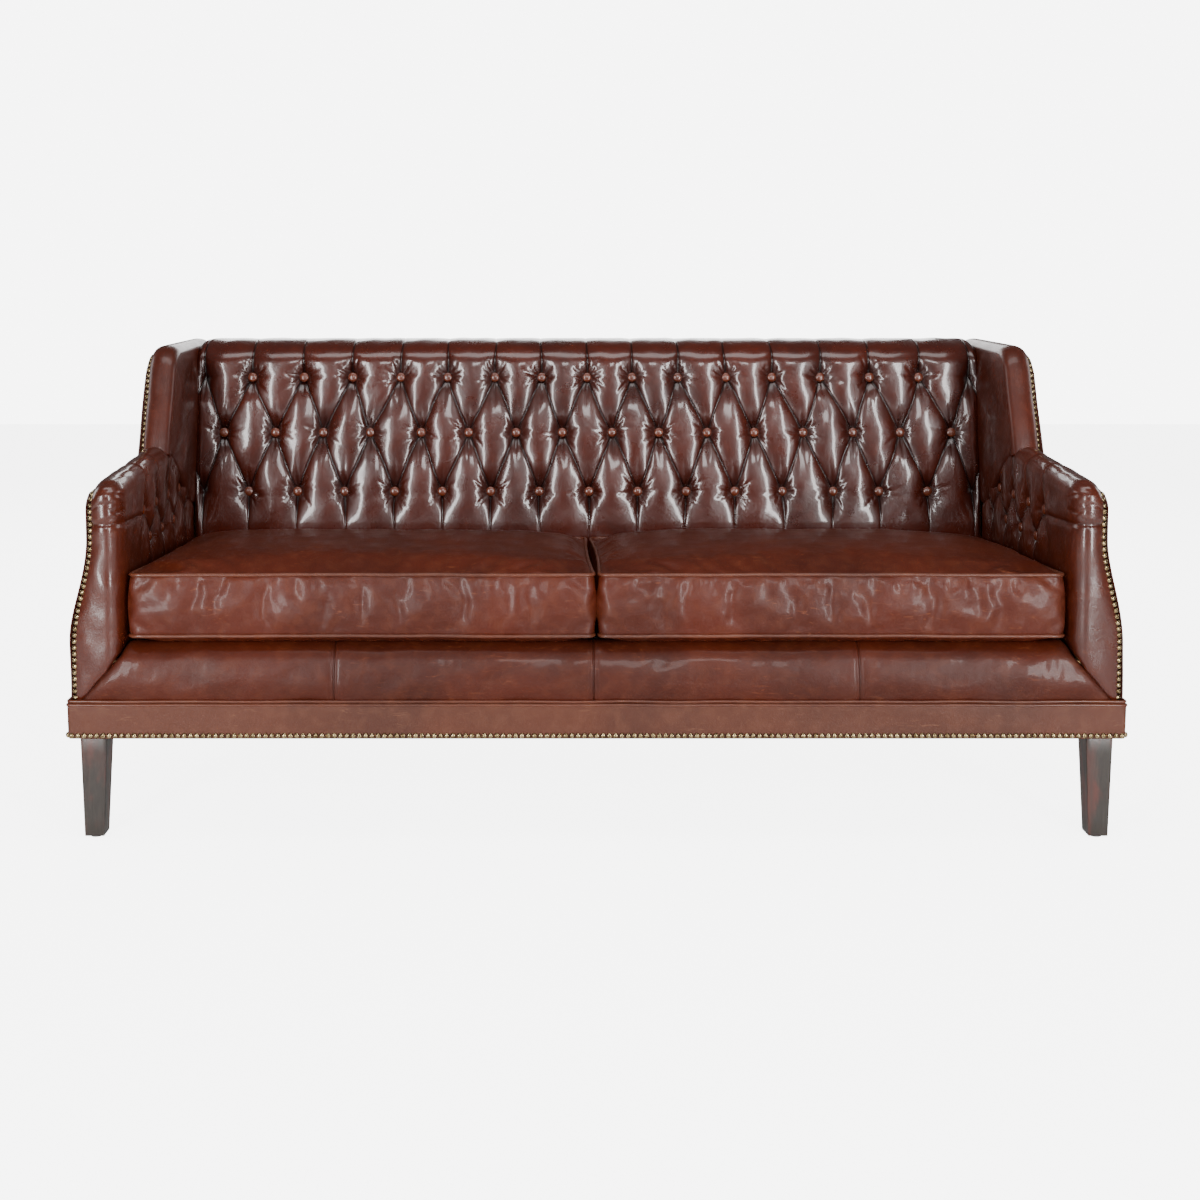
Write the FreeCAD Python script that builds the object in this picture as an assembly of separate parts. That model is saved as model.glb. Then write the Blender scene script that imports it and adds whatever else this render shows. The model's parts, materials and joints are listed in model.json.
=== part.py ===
import FreeCAD, Part
import math
import os

V = FreeCAD.Vector

# Driving sizes in millimetres. The sofa faces -Y, left is -X, and the floor is Z = 0.
# A depth is measured backwards from the front face of the base band.
overall_width = 2000.0
overall_depth = 830.0
underside_height = 196.0

# Base band, the leather-covered strip round the foot of the body
band_height = 69.0
band_thickness = 16.0
band_taper = 4.0
band_corner_radius = 9.0
welt_corner_radius = 4.0
body_setback = 5.0
seat_frame_depth = 780.0

# Arms, seen from the front: upright above, flared to the band below
arm_overhang = 38.0
arm_width = 69.0
arm_outer_half = overall_width / 2 - arm_overhang
arm_inner_half = arm_outer_half - arm_width
flare_top = 575.0
flare_foot = 375.0
arm_crown_front = 682.0
arm_crown_rise = 24.0
arm_edge_drop = 24.0
arm_roll = 32.0
arm_rail_drop = 46.0
facing_round = 26.0
facing_corner = 28.0
mitre_inner_height = 355.0
mitre_foot_inset = 26.0
mitre_foot_half = overall_width / 2 - mitre_foot_inset

# Wings, seen from the side
wing_start = 396.0
wing_sweep = 110.0
wing_top = 888.0
wing_roll = 25.0
wing_board_margin = 30.0
seam_rise = 105.0
seam_run = 127.0

# Back
back_top = 918.0
outside_back_top = 880.0
back_face_depth = 597.0
back_break_height = 503.0
back_recline = 0.121
back_frame_depth = 676.0
back_frame_lean = 52.0
lower_rail_height = 422.0
top_rail_height = 868.0
upright_count = 3

# Hardwood seat frame
rail_thickness = 28.0
front_rail_top = 340.0
seat_pitch = 3.5
post_width = 50.0
lining_thickness = 6.0
brace_height = 60.0
block_reach = 80.0
block_height = 50.0

# Seat suspension and platform
deck_rise = 32.0
deck_thickness = 20.0
spring_count = 8
spring_runs = 20
spring_wire = 4.0
spring_swing = 22.0
clip_width = 18.0
clip_thickness = 2.0
clip_length = 14.0
webbing_count = 11
webbing_width = 60.0
webbing_thickness = 2.0
dust_cover_thickness = 1.5

# Front border of the seat
border_bulge = 4.0
border_depth = 78.0
border_face_height = 85.0

# Legs, square and tapered
leg_top = 50.0
leg_foot = 37.0
leg_outer_taper = 4.5
leg_setback = 12.0
leg_side_setback = 22.5
glide_height = 4.0
glide_diameter = 24.0
bolt_diameter = 8.0
bolt_length = 100.0
bolt_sides = 8
glide_sides = 12
arc_steps = 4

# Deep buttoning of the inside back
button_pitch = 109.0
button_diameter = 19.0
button_dome = 4.0
button_seat = 7.5
button_sides = 8
top_row_height = 833.0
middle_row_height = 708.0
low_row_height = 575.0
top_row_count = 15
button_sink = 26.0
pleat_sink = 11.0
edge_sink = 12.0
tuft_steps = 3
back_roll_drop = 4.0

# Buttoning of the inside arms
arm_button_count = 4
arm_button_start = 190.0
arm_button_pitch = 100.0
arm_button_height = 600.0
arm_row_drop = 62.0
arm_button_sink = 16.0
arm_pleat_sink = 7.0
arm_front_fade = 45.0

# Loose seat cushions
cushion_front = 6.0
cushion_depth = 578.0
cushion_gap = 4.0
cushion_arm_gap = 9.0
cushion_corner = 22.0
belly_height = 16.0
boxing_height = 115.0
crown_height = 34.0
boxing_bulge = 4.0
seam_bow = 6.0
cover_thickness = 6.0
side_steps = 4

# Clearances
soft_clearance = 0.3
core_clearance = 0.5
spring_clearance = 0.3
bolt_clearance = 0.2
leg_clearance = 2.0
welt_clearance = 0.6

# Places worked out from the driving sizes
half_width = overall_width / 2.0
band_top = underside_height + band_height
welt_diameter = body_setback - welt_clearance
panel_thickness = band_thickness - body_setback
panel_foot_half = half_width - body_setback
rail_face_half = half_width - band_thickness
frame_outer_half = arm_outer_half - panel_thickness
frame_inner_half = frame_outer_half - rail_thickness
lining_inner_half = frame_inner_half - lining_thickness
crown_half = arm_inner_half + arm_roll
front_rail_back = band_thickness + rail_thickness
rear_rail_back = seat_frame_depth - band_thickness
rear_rail_front = rear_rail_back - rail_thickness
outside_back_lean = overall_depth - panel_thickness - rear_rail_back
pitch_slope = math.tan(math.radians(seat_pitch))
wing_shoulder = wing_start + wing_sweep


# Surfaces that pieces share, as a height or depth at a place
def at(depth):
    return depth - overall_depth / 2.0


def rail_level(depth):
    return front_rail_top - pitch_slope * (depth - front_rail_back)


def deck_level(depth):
    return rail_level(depth) + deck_rise


def arm_crown(depth):
    return arm_crown_front + arm_crown_rise * depth / wing_start


def arm_edge(depth):
    return arm_crown(depth) - arm_edge_drop


def arm_rail_level(depth):
    return arm_crown(depth) - arm_rail_drop


def back_frame_face(height):
    rise = max(0.0, height - lower_rail_height)
    return back_frame_depth + back_frame_lean * rise / (top_rail_height - lower_rail_height)


def outside_back_inner(height):
    return rear_rail_back + outside_back_lean * (height - band_top) / (outside_back_top - band_top)


def outside_back_outer(height):
    return outside_back_inner(height) + panel_thickness


def back_face(height):
    return back_face_depth + back_recline * max(0.0, height - back_break_height)


# Shape helpers
def line(a, b):
    return Part.LineSegment(a, b).toShape()


def arc(a, b, c):
    return Part.Arc(a, b, c).toShape()


def arc_to_level(start, end):
    """An arc from start that runs out level at its highest point, end."""
    chord = end - start
    radius = chord.Length ** 2 / (2.0 * chord.z)
    centre = end - V(0, 0, radius)
    middle = (start - centre) + (end - centre)
    middle.normalize()
    return arc(start, centre + middle * radius, end)


def outline_points(edges):
    """Points along edges that follow one another, with each arc cut into equal steps."""
    points = []
    for edge in edges:
        count = arc_steps + 1 if isinstance(edge.Curve, Part.Circle) else 2
        points += edge.discretize(Number=count)[:-1]
    return points + [edges[-1].Vertexes[-1].Point]


def box(x0, x1, d0, d1, z0, z1):
    return Part.makeBox(x1 - x0, d1 - d0, z1 - z0, V(x0, at(d0), z0))


def polygon_plate(corners, sweep):
    face = Part.Face(Part.makePolygon(corners + corners[:1]))
    return face.extrude(sweep)


def side_plate(points, x0, x1):
    """Extrude an outline of (depth, height) points from x0 to x1."""
    return polygon_plate([V(x0, at(d), z) for d, z in points], V(x1 - x0, 0, 0))


def front_plate(points, d0, d1):
    """Extrude an outline of (x, height) points from depth d0 to d1."""
    return polygon_plate([V(x, at(d0), z) for x, z in points], V(0, d1 - d0, 0))


def bar(sides, diameter, place, length):
    """An upright bar with flat sides, as wide across its corners as the round one is."""
    corners = []
    for n in range(sides):
        turn = 2.0 * math.pi * (n + 0.5) / sides
        corners.append(place + V(math.cos(turn), math.sin(turn), 0) * (diameter / 2.0))
    return polygon_plate(corners, V(0, 0, length))


def facet(*corners):
    return Part.Face(Part.makePolygon(list(corners) + [corners[0]]))


def closed_solid(faces):
    shell = Part.makeShell(faces)
    shell.sewShape()
    solid = Part.makeSolid(shell)
    if solid.Volume < 0:
        solid.reverse()
    return solid


def ring_solid(rings):
    """A solid skinned with triangles over stacked rings that have as many points each."""
    faces = [facet(*rings[0]), facet(*rings[-1])]
    for low, high in zip(rings, rings[1:]):
        for n in range(len(low)):
            m = (n + 1) % len(low)
            faces.append(facet(low[n], low[m], high[n]))
            faces.append(facet(low[m], high[m], high[n]))
    return closed_solid(faces)


def mirrored(shape):
    return shape.mirror(V(0, 0, 0), V(1, 0, 0))


def pitched(shape):
    """Tip a shape that was modelled level to the slope of the seat."""
    tipped = shape.copy()
    tipped.rotate(V(0, at(front_rail_back), front_rail_top), V(1, 0, 0), -seat_pitch)
    return tipped


def export(name, shape):
    if not shape.isValid():
        print("invalid shape:", name)
    shape.exportStep(os.path.join("parts", name + ".step"))


def export_pair(name, right_shape):
    export("left_" + name, mirrored(right_shape))
    export("right_" + name, right_shape)


# The flare of the arm's outside, as points from the top down to the band
def flare_points(inset, depth, top, foot):
    upper = arm_outer_half - inset
    lower = panel_foot_half - inset
    half_step = (lower - upper) / 2.0
    half_drop = (flare_top - flare_foot) / 2.0
    turn = math.atan2(half_step, half_drop)
    radius = (half_step ** 2 + half_drop ** 2) / (2.0 * half_step)
    across = radius * (1.0 - math.cos(turn))
    down = radius * math.sin(turn)
    middle = V(upper + half_step, at(depth), flare_top - half_drop)
    b = V(upper, at(depth), flare_top)
    c = V(lower, at(depth), flare_foot)
    concave = arc(b, b + V(across, 0, -down), middle)
    convex = arc(middle, c + V(-across, 0, down), c)
    curve = outline_points([concave, convex])
    return [V(upper, at(depth), top)] + curve + [V(lower, at(depth), foot)]


def flare_block(inset, d0, d1, top, foot):
    """The space from the sofa's middle out to the flared side, inset from its outside."""
    outline = flare_points(inset, d0, top, foot) + [V(0, at(d0), foot), V(0, at(d0), top)]
    return polygon_plate(outline, V(0, d1 - d0, 0))


# Base band and its welt
def rounded_frame(inset, height, radius):
    x = half_width - inset
    front = at(inset)
    back = at(seat_frame_depth - inset)
    diagonal = radius * (1.0 - math.sqrt(0.5))
    edges = []
    corners = [(x, front, -1, 1), (x, back, -1, -1), (-x, back, 1, -1), (-x, front, 1, 1)]
    ends = []
    for n, (cx, cy, sx, sy) in enumerate(corners):
        along_x = V(cx + sx * radius, cy, height)
        along_y = V(cx, cy + sy * radius, height)
        middle = V(cx + sx * diagonal, cy + sy * diagonal, height)
        first, last = (along_x, along_y) if n % 2 == 0 else (along_y, along_x)
        ends.append((first, middle, last))
    for n, (first, middle, last) in enumerate(ends):
        edges.append(arc(first, middle, last))
        edges.append(line(last, ends[(n + 1) % 4][0]))
    return Part.Wire(edges)


def base_band():
    low = rounded_frame(band_taper, underside_height, band_corner_radius)
    high = rounded_frame(0.0, band_top, band_corner_radius)
    outer = Part.makeLoft([low, high], True, True)
    inner = box(-rail_face_half, rail_face_half, band_thickness, rear_rail_back,
                underside_height, band_top)
    return outer.cut(inner)


def export_base_band():
    ring = base_band()
    reach = half_width + band_thickness
    front = box(-reach, reach, -band_thickness, band_thickness, 0, band_top)
    rear = box(-reach, reach, rear_rail_back, seat_frame_depth + band_thickness, 0, band_top)
    side = box(rail_face_half, reach, band_thickness, rear_rail_back, 0, band_top)
    export("base_band_front", ring.common(front))
    export("base_band_rear", ring.common(rear))
    export("base_band_right", ring.common(side))
    export("base_band_left", ring.common(mirrored(side)))


def base_welt():
    radius = welt_diameter / 2.0
    path = rounded_frame(radius, band_top + radius, welt_corner_radius)
    start = path.Edges[0].Vertexes[0].Point
    section = []
    for n in range(8):
        turn = math.pi * n / 4.0
        section.append(start + V(0, math.cos(turn), math.sin(turn)) * radius)
    return path.makePipeShell([Part.makePolygon(section + section[:1])], True, True)


# Seat frame
def front_seat_rail():
    outline = [(band_thickness, underside_height), (front_rail_back, underside_height),
               (front_rail_back, rail_level(front_rail_back)),
               (band_thickness, rail_level(band_thickness))]
    return side_plate(outline, -rail_face_half, rail_face_half)


def rear_seat_rail():
    outline = [(rear_rail_front, underside_height), (rear_rail_back, underside_height),
               (rear_rail_back, rail_level(rear_rail_back)),
               (rear_rail_front, rail_level(rear_rail_front))]
    return side_plate(outline, -rail_face_half, rail_face_half)


def right_seat_rail():
    outline = [(front_rail_back, underside_height), (rear_rail_front, underside_height),
               (rear_rail_front, rail_level(rear_rail_front)),
               (front_rail_back, rail_level(front_rail_back))]
    return side_plate(outline, frame_outer_half, rail_face_half)


def centre_seat_brace():
    return box(-rail_thickness / 2, rail_thickness / 2, front_rail_back, rear_rail_front,
               underside_height, underside_height + brace_height)


def corner_block(rail_depth, towards):
    corner = V(frame_inner_half, at(rail_depth), underside_height)
    along_rail = corner - V(block_reach, 0, 0)
    along_post = corner + V(0, towards * post_width, 0)
    return polygon_plate([corner, along_rail, along_post], V(0, 0, block_height))


def corner_blocks():
    blocks = [corner_block(front_rail_back, 1.0), corner_block(rear_rail_front, -1.0)]
    return Part.makeCompound(blocks + [mirrored(b) for b in blocks])


# Arm and back frame
def right_front_post():
    back = front_rail_back + post_width
    outline = [(front_rail_back, underside_height), (back, underside_height),
               (back, arm_rail_level(back) - rail_thickness),
               (front_rail_back, arm_rail_level(front_rail_back) - rail_thickness)]
    return side_plate(outline, frame_inner_half, frame_outer_half).cut(bolt_hole(False))


def back_post_blank():
    foot = rail_level(rear_rail_back)
    outline = [(back_frame_depth, underside_height), (rear_rail_front, underside_height),
               (rear_rail_front, rail_level(rear_rail_front)), (rear_rail_back, foot),
               (outside_back_inner(foot), foot),
               (outside_back_inner(top_rail_height), top_rail_height),
               (back_frame_face(top_rail_height), top_rail_height),
               (back_frame_depth, lower_rail_height)]
    return side_plate(outline, frame_inner_half, frame_outer_half)


def right_back_post():
    return back_post_blank().cut(bolt_hole(True))


def right_arm_rail():
    end = back_frame_face(top_rail_height)
    outline = [(front_rail_back, arm_rail_level(front_rail_back) - rail_thickness),
               (end, arm_rail_level(end) - rail_thickness), (end, arm_rail_level(end)),
               (front_rail_back, arm_rail_level(front_rail_back))]
    return side_plate(outline, frame_inner_half, frame_outer_half).cut(back_post_blank())


def right_arm_lining():
    outline = [(front_rail_back, deck_level(front_rail_back)),
               (back_frame_depth, deck_level(back_frame_depth)),
               (back_frame_depth, arm_rail_level(back_frame_depth)),
               (front_rail_back, arm_rail_level(front_rail_back))]
    return side_plate(outline, lining_inner_half, frame_inner_half)


def right_wing_board():
    front = wing_start + wing_board_margin
    shoulder = wing_top - wing_board_margin
    back = back_frame_face(top_rail_height)
    outline = [(front, arm_rail_level(front)), (front + wing_sweep / 3, shoulder - wing_sweep / 2),
               (front + wing_sweep * 2 / 3, shoulder), (back, shoulder), (back, arm_rail_level(back))]
    board = side_plate(outline, frame_inner_half, frame_outer_half)
    return board.cut([back_post_blank(), arm_seam_side()])


def back_board(foot, top, x0, x1):
    outline = [(back_frame_face(foot), foot), (outside_back_inner(foot), foot),
               (outside_back_inner(top), top), (back_frame_face(top), top)]
    return side_plate(outline, x0, x1)


def back_lower_rail():
    top = lower_rail_height + rail_thickness
    return back_board(lower_rail_height, top, -frame_inner_half, frame_inner_half)


def back_top_rail():
    foot = top_rail_height - rail_thickness
    return back_board(foot, top_rail_height, -frame_inner_half, frame_inner_half)


def across_seat(count, half):
    spacing = 2 * half / count
    return [(n + 0.5) * spacing - half for n in range(count)]


def back_uprights():
    foot = lower_rail_height + rail_thickness
    top = top_rail_height - rail_thickness
    half = rail_thickness / 2
    places = across_seat(upright_count, frame_inner_half)
    return Part.makeCompound([back_board(foot, top, x - half, x + half) for x in places])


def back_webbing():
    foot = lower_rail_height
    top = top_rail_height
    near = webbing_thickness
    outline = [(back_frame_face(foot) - near, foot), (back_frame_face(foot), foot),
               (back_frame_face(top), top), (back_frame_face(top) - near, top)]
    half = webbing_width / 2
    places = across_seat(webbing_count, lining_inner_half)
    return Part.makeCompound([side_plate(outline, x - half, x + half) for x in places])


# Legs, their hanger bolts and glides
def leg_centre(rear):
    x = half_width - leg_side_setback - leg_top / 2
    depth = leg_setback + leg_top / 2
    return (x, seat_frame_depth - depth) if rear else (x, depth)


def foot_centre(rear):
    """The foot stands a little outwards of the top, because the inner faces taper more."""
    x, depth = leg_centre(rear)
    shift = (leg_top - leg_foot) / 2 - leg_outer_taper
    return (x + shift, depth + shift) if rear else (x + shift, depth - shift)


def leg_ring(centre, side, height):
    x, depth = centre
    half = side / 2
    return [V(x - half, at(depth - half), height), V(x + half, at(depth - half), height),
            V(x + half, at(depth + half), height), V(x - half, at(depth + half), height)]


def bolt_place(rear):
    x = (frame_inner_half + frame_outer_half) / 2
    inside_post = bolt_diameter
    depth = rear_rail_front - inside_post if rear else front_rail_back + inside_post
    return V(x, at(depth), underside_height - bolt_length / 2)


def bolt_hole(rear):
    return bar(bolt_sides, bolt_diameter + 2 * bolt_clearance, bolt_place(rear), bolt_length)


def right_leg(rear):
    foot = leg_ring(foot_centre(rear), leg_foot, glide_height)
    top = leg_ring(leg_centre(rear), leg_top, underside_height)
    return ring_solid([foot, top]).removeSplitter().cut(bolt_hole(rear))


def leg_bolts():
    bolts = [bar(bolt_sides, bolt_diameter, bolt_place(rear), bolt_length) for rear in (False, True)]
    return Part.makeCompound(bolts + [mirrored(b) for b in bolts])


def leg_glides():
    glides = []
    for rear in (False, True):
        x, depth = foot_centre(rear)
        glides.append(bar(glide_sides, glide_diameter, V(x, at(depth), 0), glide_height))
    return Part.makeCompound(glides + [mirrored(g) for g in glides])


def dust_cover():
    sheet = box(-rail_face_half, rail_face_half, band_thickness, rear_rail_back,
                underside_height - dust_cover_thickness, underside_height)
    for rear in (False, True):
        x, depth = leg_centre(rear)
        half = leg_top / 2 + leg_clearance
        notch = box(x - half, half_width, depth - half, depth + half, 0, underside_height)
        sheet = sheet.cut(notch).cut(mirrored(notch))
    return sheet


# Seat suspension, modelled level with the front rail's top and then pitched
def spring_start():
    return front_rail_back - clip_length + clip_thickness + spring_clearance


def seat_spring(x):
    """One sinuous spring: runs across the seat joined by short steps towards the back."""
    end = rear_rail_front + clip_length - clip_thickness - spring_clearance
    step = (end - spring_start() - spring_wire) / (spring_runs - 1)
    height = front_rail_top + clip_thickness
    corners = []
    for n in range(spring_runs):
        side = spring_swing if n % 2 else -spring_swing
        y = at(spring_start() + spring_wire + n * step)
        corners += [V(x - side, y, height), V(x + side, y, height)]
    runs = [line(a, b) for a, b in zip(corners, corners[1:])]
    ribbon = Part.Wire(runs).makeOffset2D(spring_wire, 2, True, True)
    return ribbon.extrude(V(0, 0, spring_wire))


def seat_springs():
    places = across_seat(spring_count, lining_inner_half)
    return pitched(Part.makeCompound([seat_spring(x) for x in places]))


def spring_clip(x, edge, towards):
    """A bent clip nailed on a rail's top, open towards the seat."""
    wall = clip_thickness
    mouth = spring_wire + spring_clearance
    reach = clip_length
    base = front_rail_top
    profile = [(reach, 0), (reach, wall), (wall, wall), (wall, wall + mouth),
               (reach / 2, wall + mouth), (reach / 2, 2 * wall + mouth), (0, 2 * wall + mouth), (0, 0)]
    outline = [(edge - towards * (reach - u), base + v) for u, v in profile]
    return side_plate(outline, x - clip_width / 2, x + clip_width / 2)


def spring_clips():
    clips = []
    for x in across_seat(spring_count, lining_inner_half):
        clips.append(spring_clip(x, front_rail_back, 1.0))
        clips.append(spring_clip(x, rear_rail_front, -1.0))
    return pitched(Part.makeCompound(clips))


def seat_decking():
    top = deck_rise
    under = deck_rise - deck_thickness
    outline = [(border_depth, rail_level(border_depth) + under),
               (back_frame_depth, rail_level(back_frame_depth) + under),
               (back_frame_depth, rail_level(back_frame_depth) + top),
               (border_depth, rail_level(border_depth) + top)]
    return side_plate(outline, -frame_inner_half, frame_inner_half)


# Front border, the padded roll between the band and the cushions
def mitre_side(d0, d1):
    """The space on the arm's side of the mitred seam between border and facing."""
    top = deck_level(border_depth)
    reach = half_width
    outline = [(arm_inner_half, arm_crown_front), (arm_inner_half, top),
               (arm_inner_half + body_setback, mitre_inner_height),
               (mitre_foot_half, band_top), (reach, band_top), (reach, arm_crown_front)]
    return front_plate(outline, d0, d1)


def seat_front_border():
    def p(depth, height):
        return V(-rail_face_half, at(depth), height)

    face = body_setback
    step = band_thickness + rail_thickness / 2
    low = p(face, band_top)
    above_welt = p(face, band_top + welt_diameter)
    shoulder = p(2 * face, band_top + border_face_height)
    crest = p(border_depth - face, deck_level(border_depth - face))
    deck = p(border_depth, deck_level(border_depth))
    front = arc(above_welt, p(face - border_bulge, band_top + border_face_height / 2), shoulder)
    behind = [p(border_depth, deck_level(border_depth) - deck_thickness),
              p(step, deck_level(step) - deck_thickness), p(step, rail_level(step)),
              p(band_thickness, rail_level(band_thickness)), p(band_thickness, band_top), low]
    edges = [line(low, above_welt), front, arc_to_level(shoulder, crest), line(crest, deck)]
    edges += [line(a, b) for a, b in zip([deck] + behind, behind)]
    roll = Part.Face(Part.Wire(edges)).extrude(V(2 * rail_face_half, 0, 0))
    arm_space = mitre_side(-band_thickness, border_depth + 1.0)
    return roll.cut(arm_space).cut(mirrored(arm_space))


# Arm upholstery: front facing, tufted inside and rolled top
def facing_ring(depth, inset):
    """Points from the foot of the flare up, over the crown and down the inside face."""
    y = at(depth)
    flare = flare_points(panel_thickness, depth, arm_edge(depth) - inset, band_top)
    roll = arm_roll - inset
    centre = V(crown_half, y, arm_crown(depth) - arm_roll)
    top = centre + V(0, 0, roll)
    inner = centre - V(roll, 0, 0)
    over = arc(top, centre + V(-roll, 0, roll) * math.sqrt(0.5), inner)
    outer = arc_to_level(flare[0], top)
    return flare[::-1] + outline_points([outer, over])[1:] + [V(inner.x, y, band_top)]


def right_arm_facing():
    roll = front_rail_back - body_setback
    rings = []
    for degrees in (0.0, 25.0, 50.0, 70.0, 90.0):
        turn = math.radians(degrees)
        depth = front_rail_back - roll * math.sin(turn)
        rings.append(facing_ring(depth, (facing_round - 2.0) * (1.0 - math.cos(turn))))
    block = ring_solid(rings)
    return block.common(mitre_side(0.0, front_rail_back)).cut(front_seat_rail())


def arm_seam_side():
    """The space in front of and below the slanted seam between arm and wing."""
    upper = (wing_start, arm_crown(wing_start))
    lower = (wing_start + seam_run, upper[1] - seam_rise)
    outline = [(0, 0), (0, back_top), (wing_start - seam_run, upper[1] + seam_rise), upper, lower,
               (back_face_depth - soft_clearance, deck_level(back_face_depth)),
               (back_face_depth - soft_clearance, 0)]
    return side_plate(outline, 0, half_width)


def arm_rows(depth):
    """The arm's section at a depth, from the seat over the crown: (x, height, row of buttons)."""
    foot = deck_level(depth)
    low = arm_button_height - arm_row_drop
    spring = arm_crown(depth) - arm_roll
    inner = arm_inner_half
    rows = [(inner, foot, -1.6), (inner, (foot + low) / 2, -0.8), (inner, (foot + 5 * low) / 6, -0.3)]
    for n in range(tuft_steps):
        rows.append((inner, low + arm_row_drop * n / tuft_steps, n / tuft_steps))
    rows += [(inner, arm_button_height, 1.0), (inner, (arm_button_height + spring) / 2, 1.3)]
    crown = arm_crown(depth)
    for degrees in (0.0, 35.0, 65.0, 90.0):
        turn = math.radians(degrees)
        rows.append((crown_half - arm_roll * math.cos(turn),
                     crown - arm_roll * (1.0 - math.sin(turn)), 1.6 + degrees / 90.0))
    edge = arm_edge(depth)
    for degrees in (40.0, 75.0):
        turn = math.radians(degrees)
        rows.append((crown_half + (frame_outer_half - crown_half) * math.sin(turn),
                     edge + (crown - edge) * math.cos(turn), 2.6 + degrees / 90.0))
    return rows


def arm_columns():
    """Depths of the arm's skin, with the column in half pitches counted from the first button."""
    half_pitch = arm_button_pitch / 2
    depths = [front_rail_back, (front_rail_back + arm_button_start - half_pitch) / 2]
    depth = arm_button_start - half_pitch
    while depth < back_face_depth:
        depths.append(depth)
        depth += half_pitch / tuft_steps
    depths.append(back_face_depth)
    return [(depth, (depth - arm_button_start) / half_pitch + 1.0) for depth in depths]


def arm_skin():
    columns = arm_columns()
    skin = []
    for n in range(len(arm_rows(front_rail_back))):
        line_of_points = []
        for depth, column in columns:
            rows = arm_rows(depth)
            x, height, row = rows[n]
            below = rows[max(n - 1, 0)]
            above = rows[min(n + 1, len(rows) - 1)]
            inward = V(above[1] - below[1], 0, below[0] - above[0])
            inward.normalize()
            if n == 0:
                inward = V(1, 0, 0)
            fade = min(1.0, max(0.0, 1.0 - (arm_button_start - depth) / arm_front_fade))
            sink = fade * tuft_sink(column, row, 1, arm_button_sink, arm_pleat_sink)
            if n == len(rows) - 1:
                sink = 0.0
            line_of_points.append(V(x, at(depth), height) + inward * sink)
        skin.append(line_of_points)
    return skin


def arm_frame_line(depth):
    rail = arm_rail_level(depth)
    places = [(lining_inner_half, deck_level(depth)), (lining_inner_half, rail),
              (frame_outer_half, rail), (frame_outer_half, arm_edge(depth))]
    return [V(x, at(depth), z) for x, z in places]


def right_arm_pad():
    lattice = [column for depth, column in arm_columns()]
    rows = [row for x, height, row in arm_rows(front_rail_back)]
    pad = tufted_pad(arm_skin(), lattice, rows, arm_frame_line(front_rail_back),
                     arm_frame_line(back_face_depth))
    return pad.common(arm_seam_side())


def covered_button():
    """A leather-covered button on its cone-shaped seat, facing +Z with its rim at the origin."""
    radius = button_diameter / 2
    levels = ((0.2, -button_seat), (1.0, 0.0), (0.55, button_dome))
    rings = []
    for share, height in levels:
        ring = []
        for n in range(button_sides):
            turn = 2.0 * math.pi * n / button_sides
            ring.append(V(math.cos(turn) * radius * share, math.sin(turn) * radius * share, height))
        rings.append(ring)
    return ring_solid(rings)


def placed_button(place, facing):
    button = covered_button()
    button.Placement = FreeCAD.Placement(place, FreeCAD.Rotation(V(0, 0, 1), facing))
    return button


def right_arm_buttons():
    x = arm_inner_half + arm_button_sink - button_seat - 5 * soft_clearance
    buttons = []
    for n in range(arm_button_count):
        depth = arm_button_start + n * arm_button_pitch
        buttons.append(placed_button(V(x, at(depth), arm_button_height), V(-1, 0, 0)))
        if n + 1 < arm_button_count:
            place = V(x, at(depth + arm_button_pitch / 2), arm_button_height - arm_row_drop)
            buttons.append(placed_button(place, V(-1, 0, 0)))
    return Part.makeCompound(buttons)


# Outside panels
def wing_side_edges(grow, x):
    """Edges of the wing seen from the side, from its foot over the top, grown outwards."""
    def p(depth, height):
        return V(x, at(depth), height)

    start = wing_start - grow
    foot = arm_edge(wing_start)
    sweep = wing_sweep
    rise = wing_top - foot
    a = p(start, foot)
    b = p(start + sweep * 0.42, foot + rise * 0.58)
    c = p(start + sweep * 0.62, foot + rise * 0.87)
    d = p(wing_shoulder, wing_top + grow)
    e = p(outside_back_inner(outside_back_top) - wing_roll, wing_top + grow)
    concave = arc(a, p(start + sweep * 0.16, foot + rise * 0.26), b)
    return [concave, line(b, c), arc_to_level(c, d), line(d, e)]


def arm_side_outline():
    def p(depth, height):
        return V(0, at(depth), height)

    top = p(body_setback + facing_corner, arm_edge(body_setback + facing_corner))
    front = p(body_setback, top.z - facing_corner)
    corner = p(body_setback + facing_corner * (1.0 - math.sqrt(0.5)),
               top.z - facing_corner * (1.0 - math.sqrt(0.5)))
    wing = wing_side_edges(0.0, 0.0)
    wing_foot = wing[0].Vertexes[0].Point
    wing_end = wing[-1].Vertexes[-1].Point
    rear_top = p(outside_back_outer(outside_back_top), outside_back_top)
    rear_foot = p(outside_back_outer(band_top), band_top)
    front_foot = p(body_setback, band_top)
    edges = [line(front_foot, front), arc(front, corner, top), line(top, wing_foot)] + wing
    edges += [line(wing_end, rear_top), line(rear_top, rear_foot), line(rear_foot, front_foot)]
    return Part.Face(Part.Wire(edges)).extrude(V(half_width, 0, 0))


def right_outside_arm_panel():
    outer = flare_block(0.0, 0.0, overall_depth, back_top, band_top)
    inner = flare_block(panel_thickness, 0.0, overall_depth, back_top, band_top)
    return outer.cut(inner).common(arm_side_outline())


def outside_back_panel():
    slab = [(outside_back_inner(band_top), band_top), (outside_back_outer(band_top), band_top),
            (outside_back_outer(outside_back_top), outside_back_top),
            (outside_back_inner(outside_back_top), outside_back_top)]
    side = flare_block(panel_thickness, rear_rail_front, overall_depth, back_top, band_top)
    right = side.common(side_plate(slab, 0, half_width))
    return right.fuse(mirrored(right)).removeSplitter()


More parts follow.
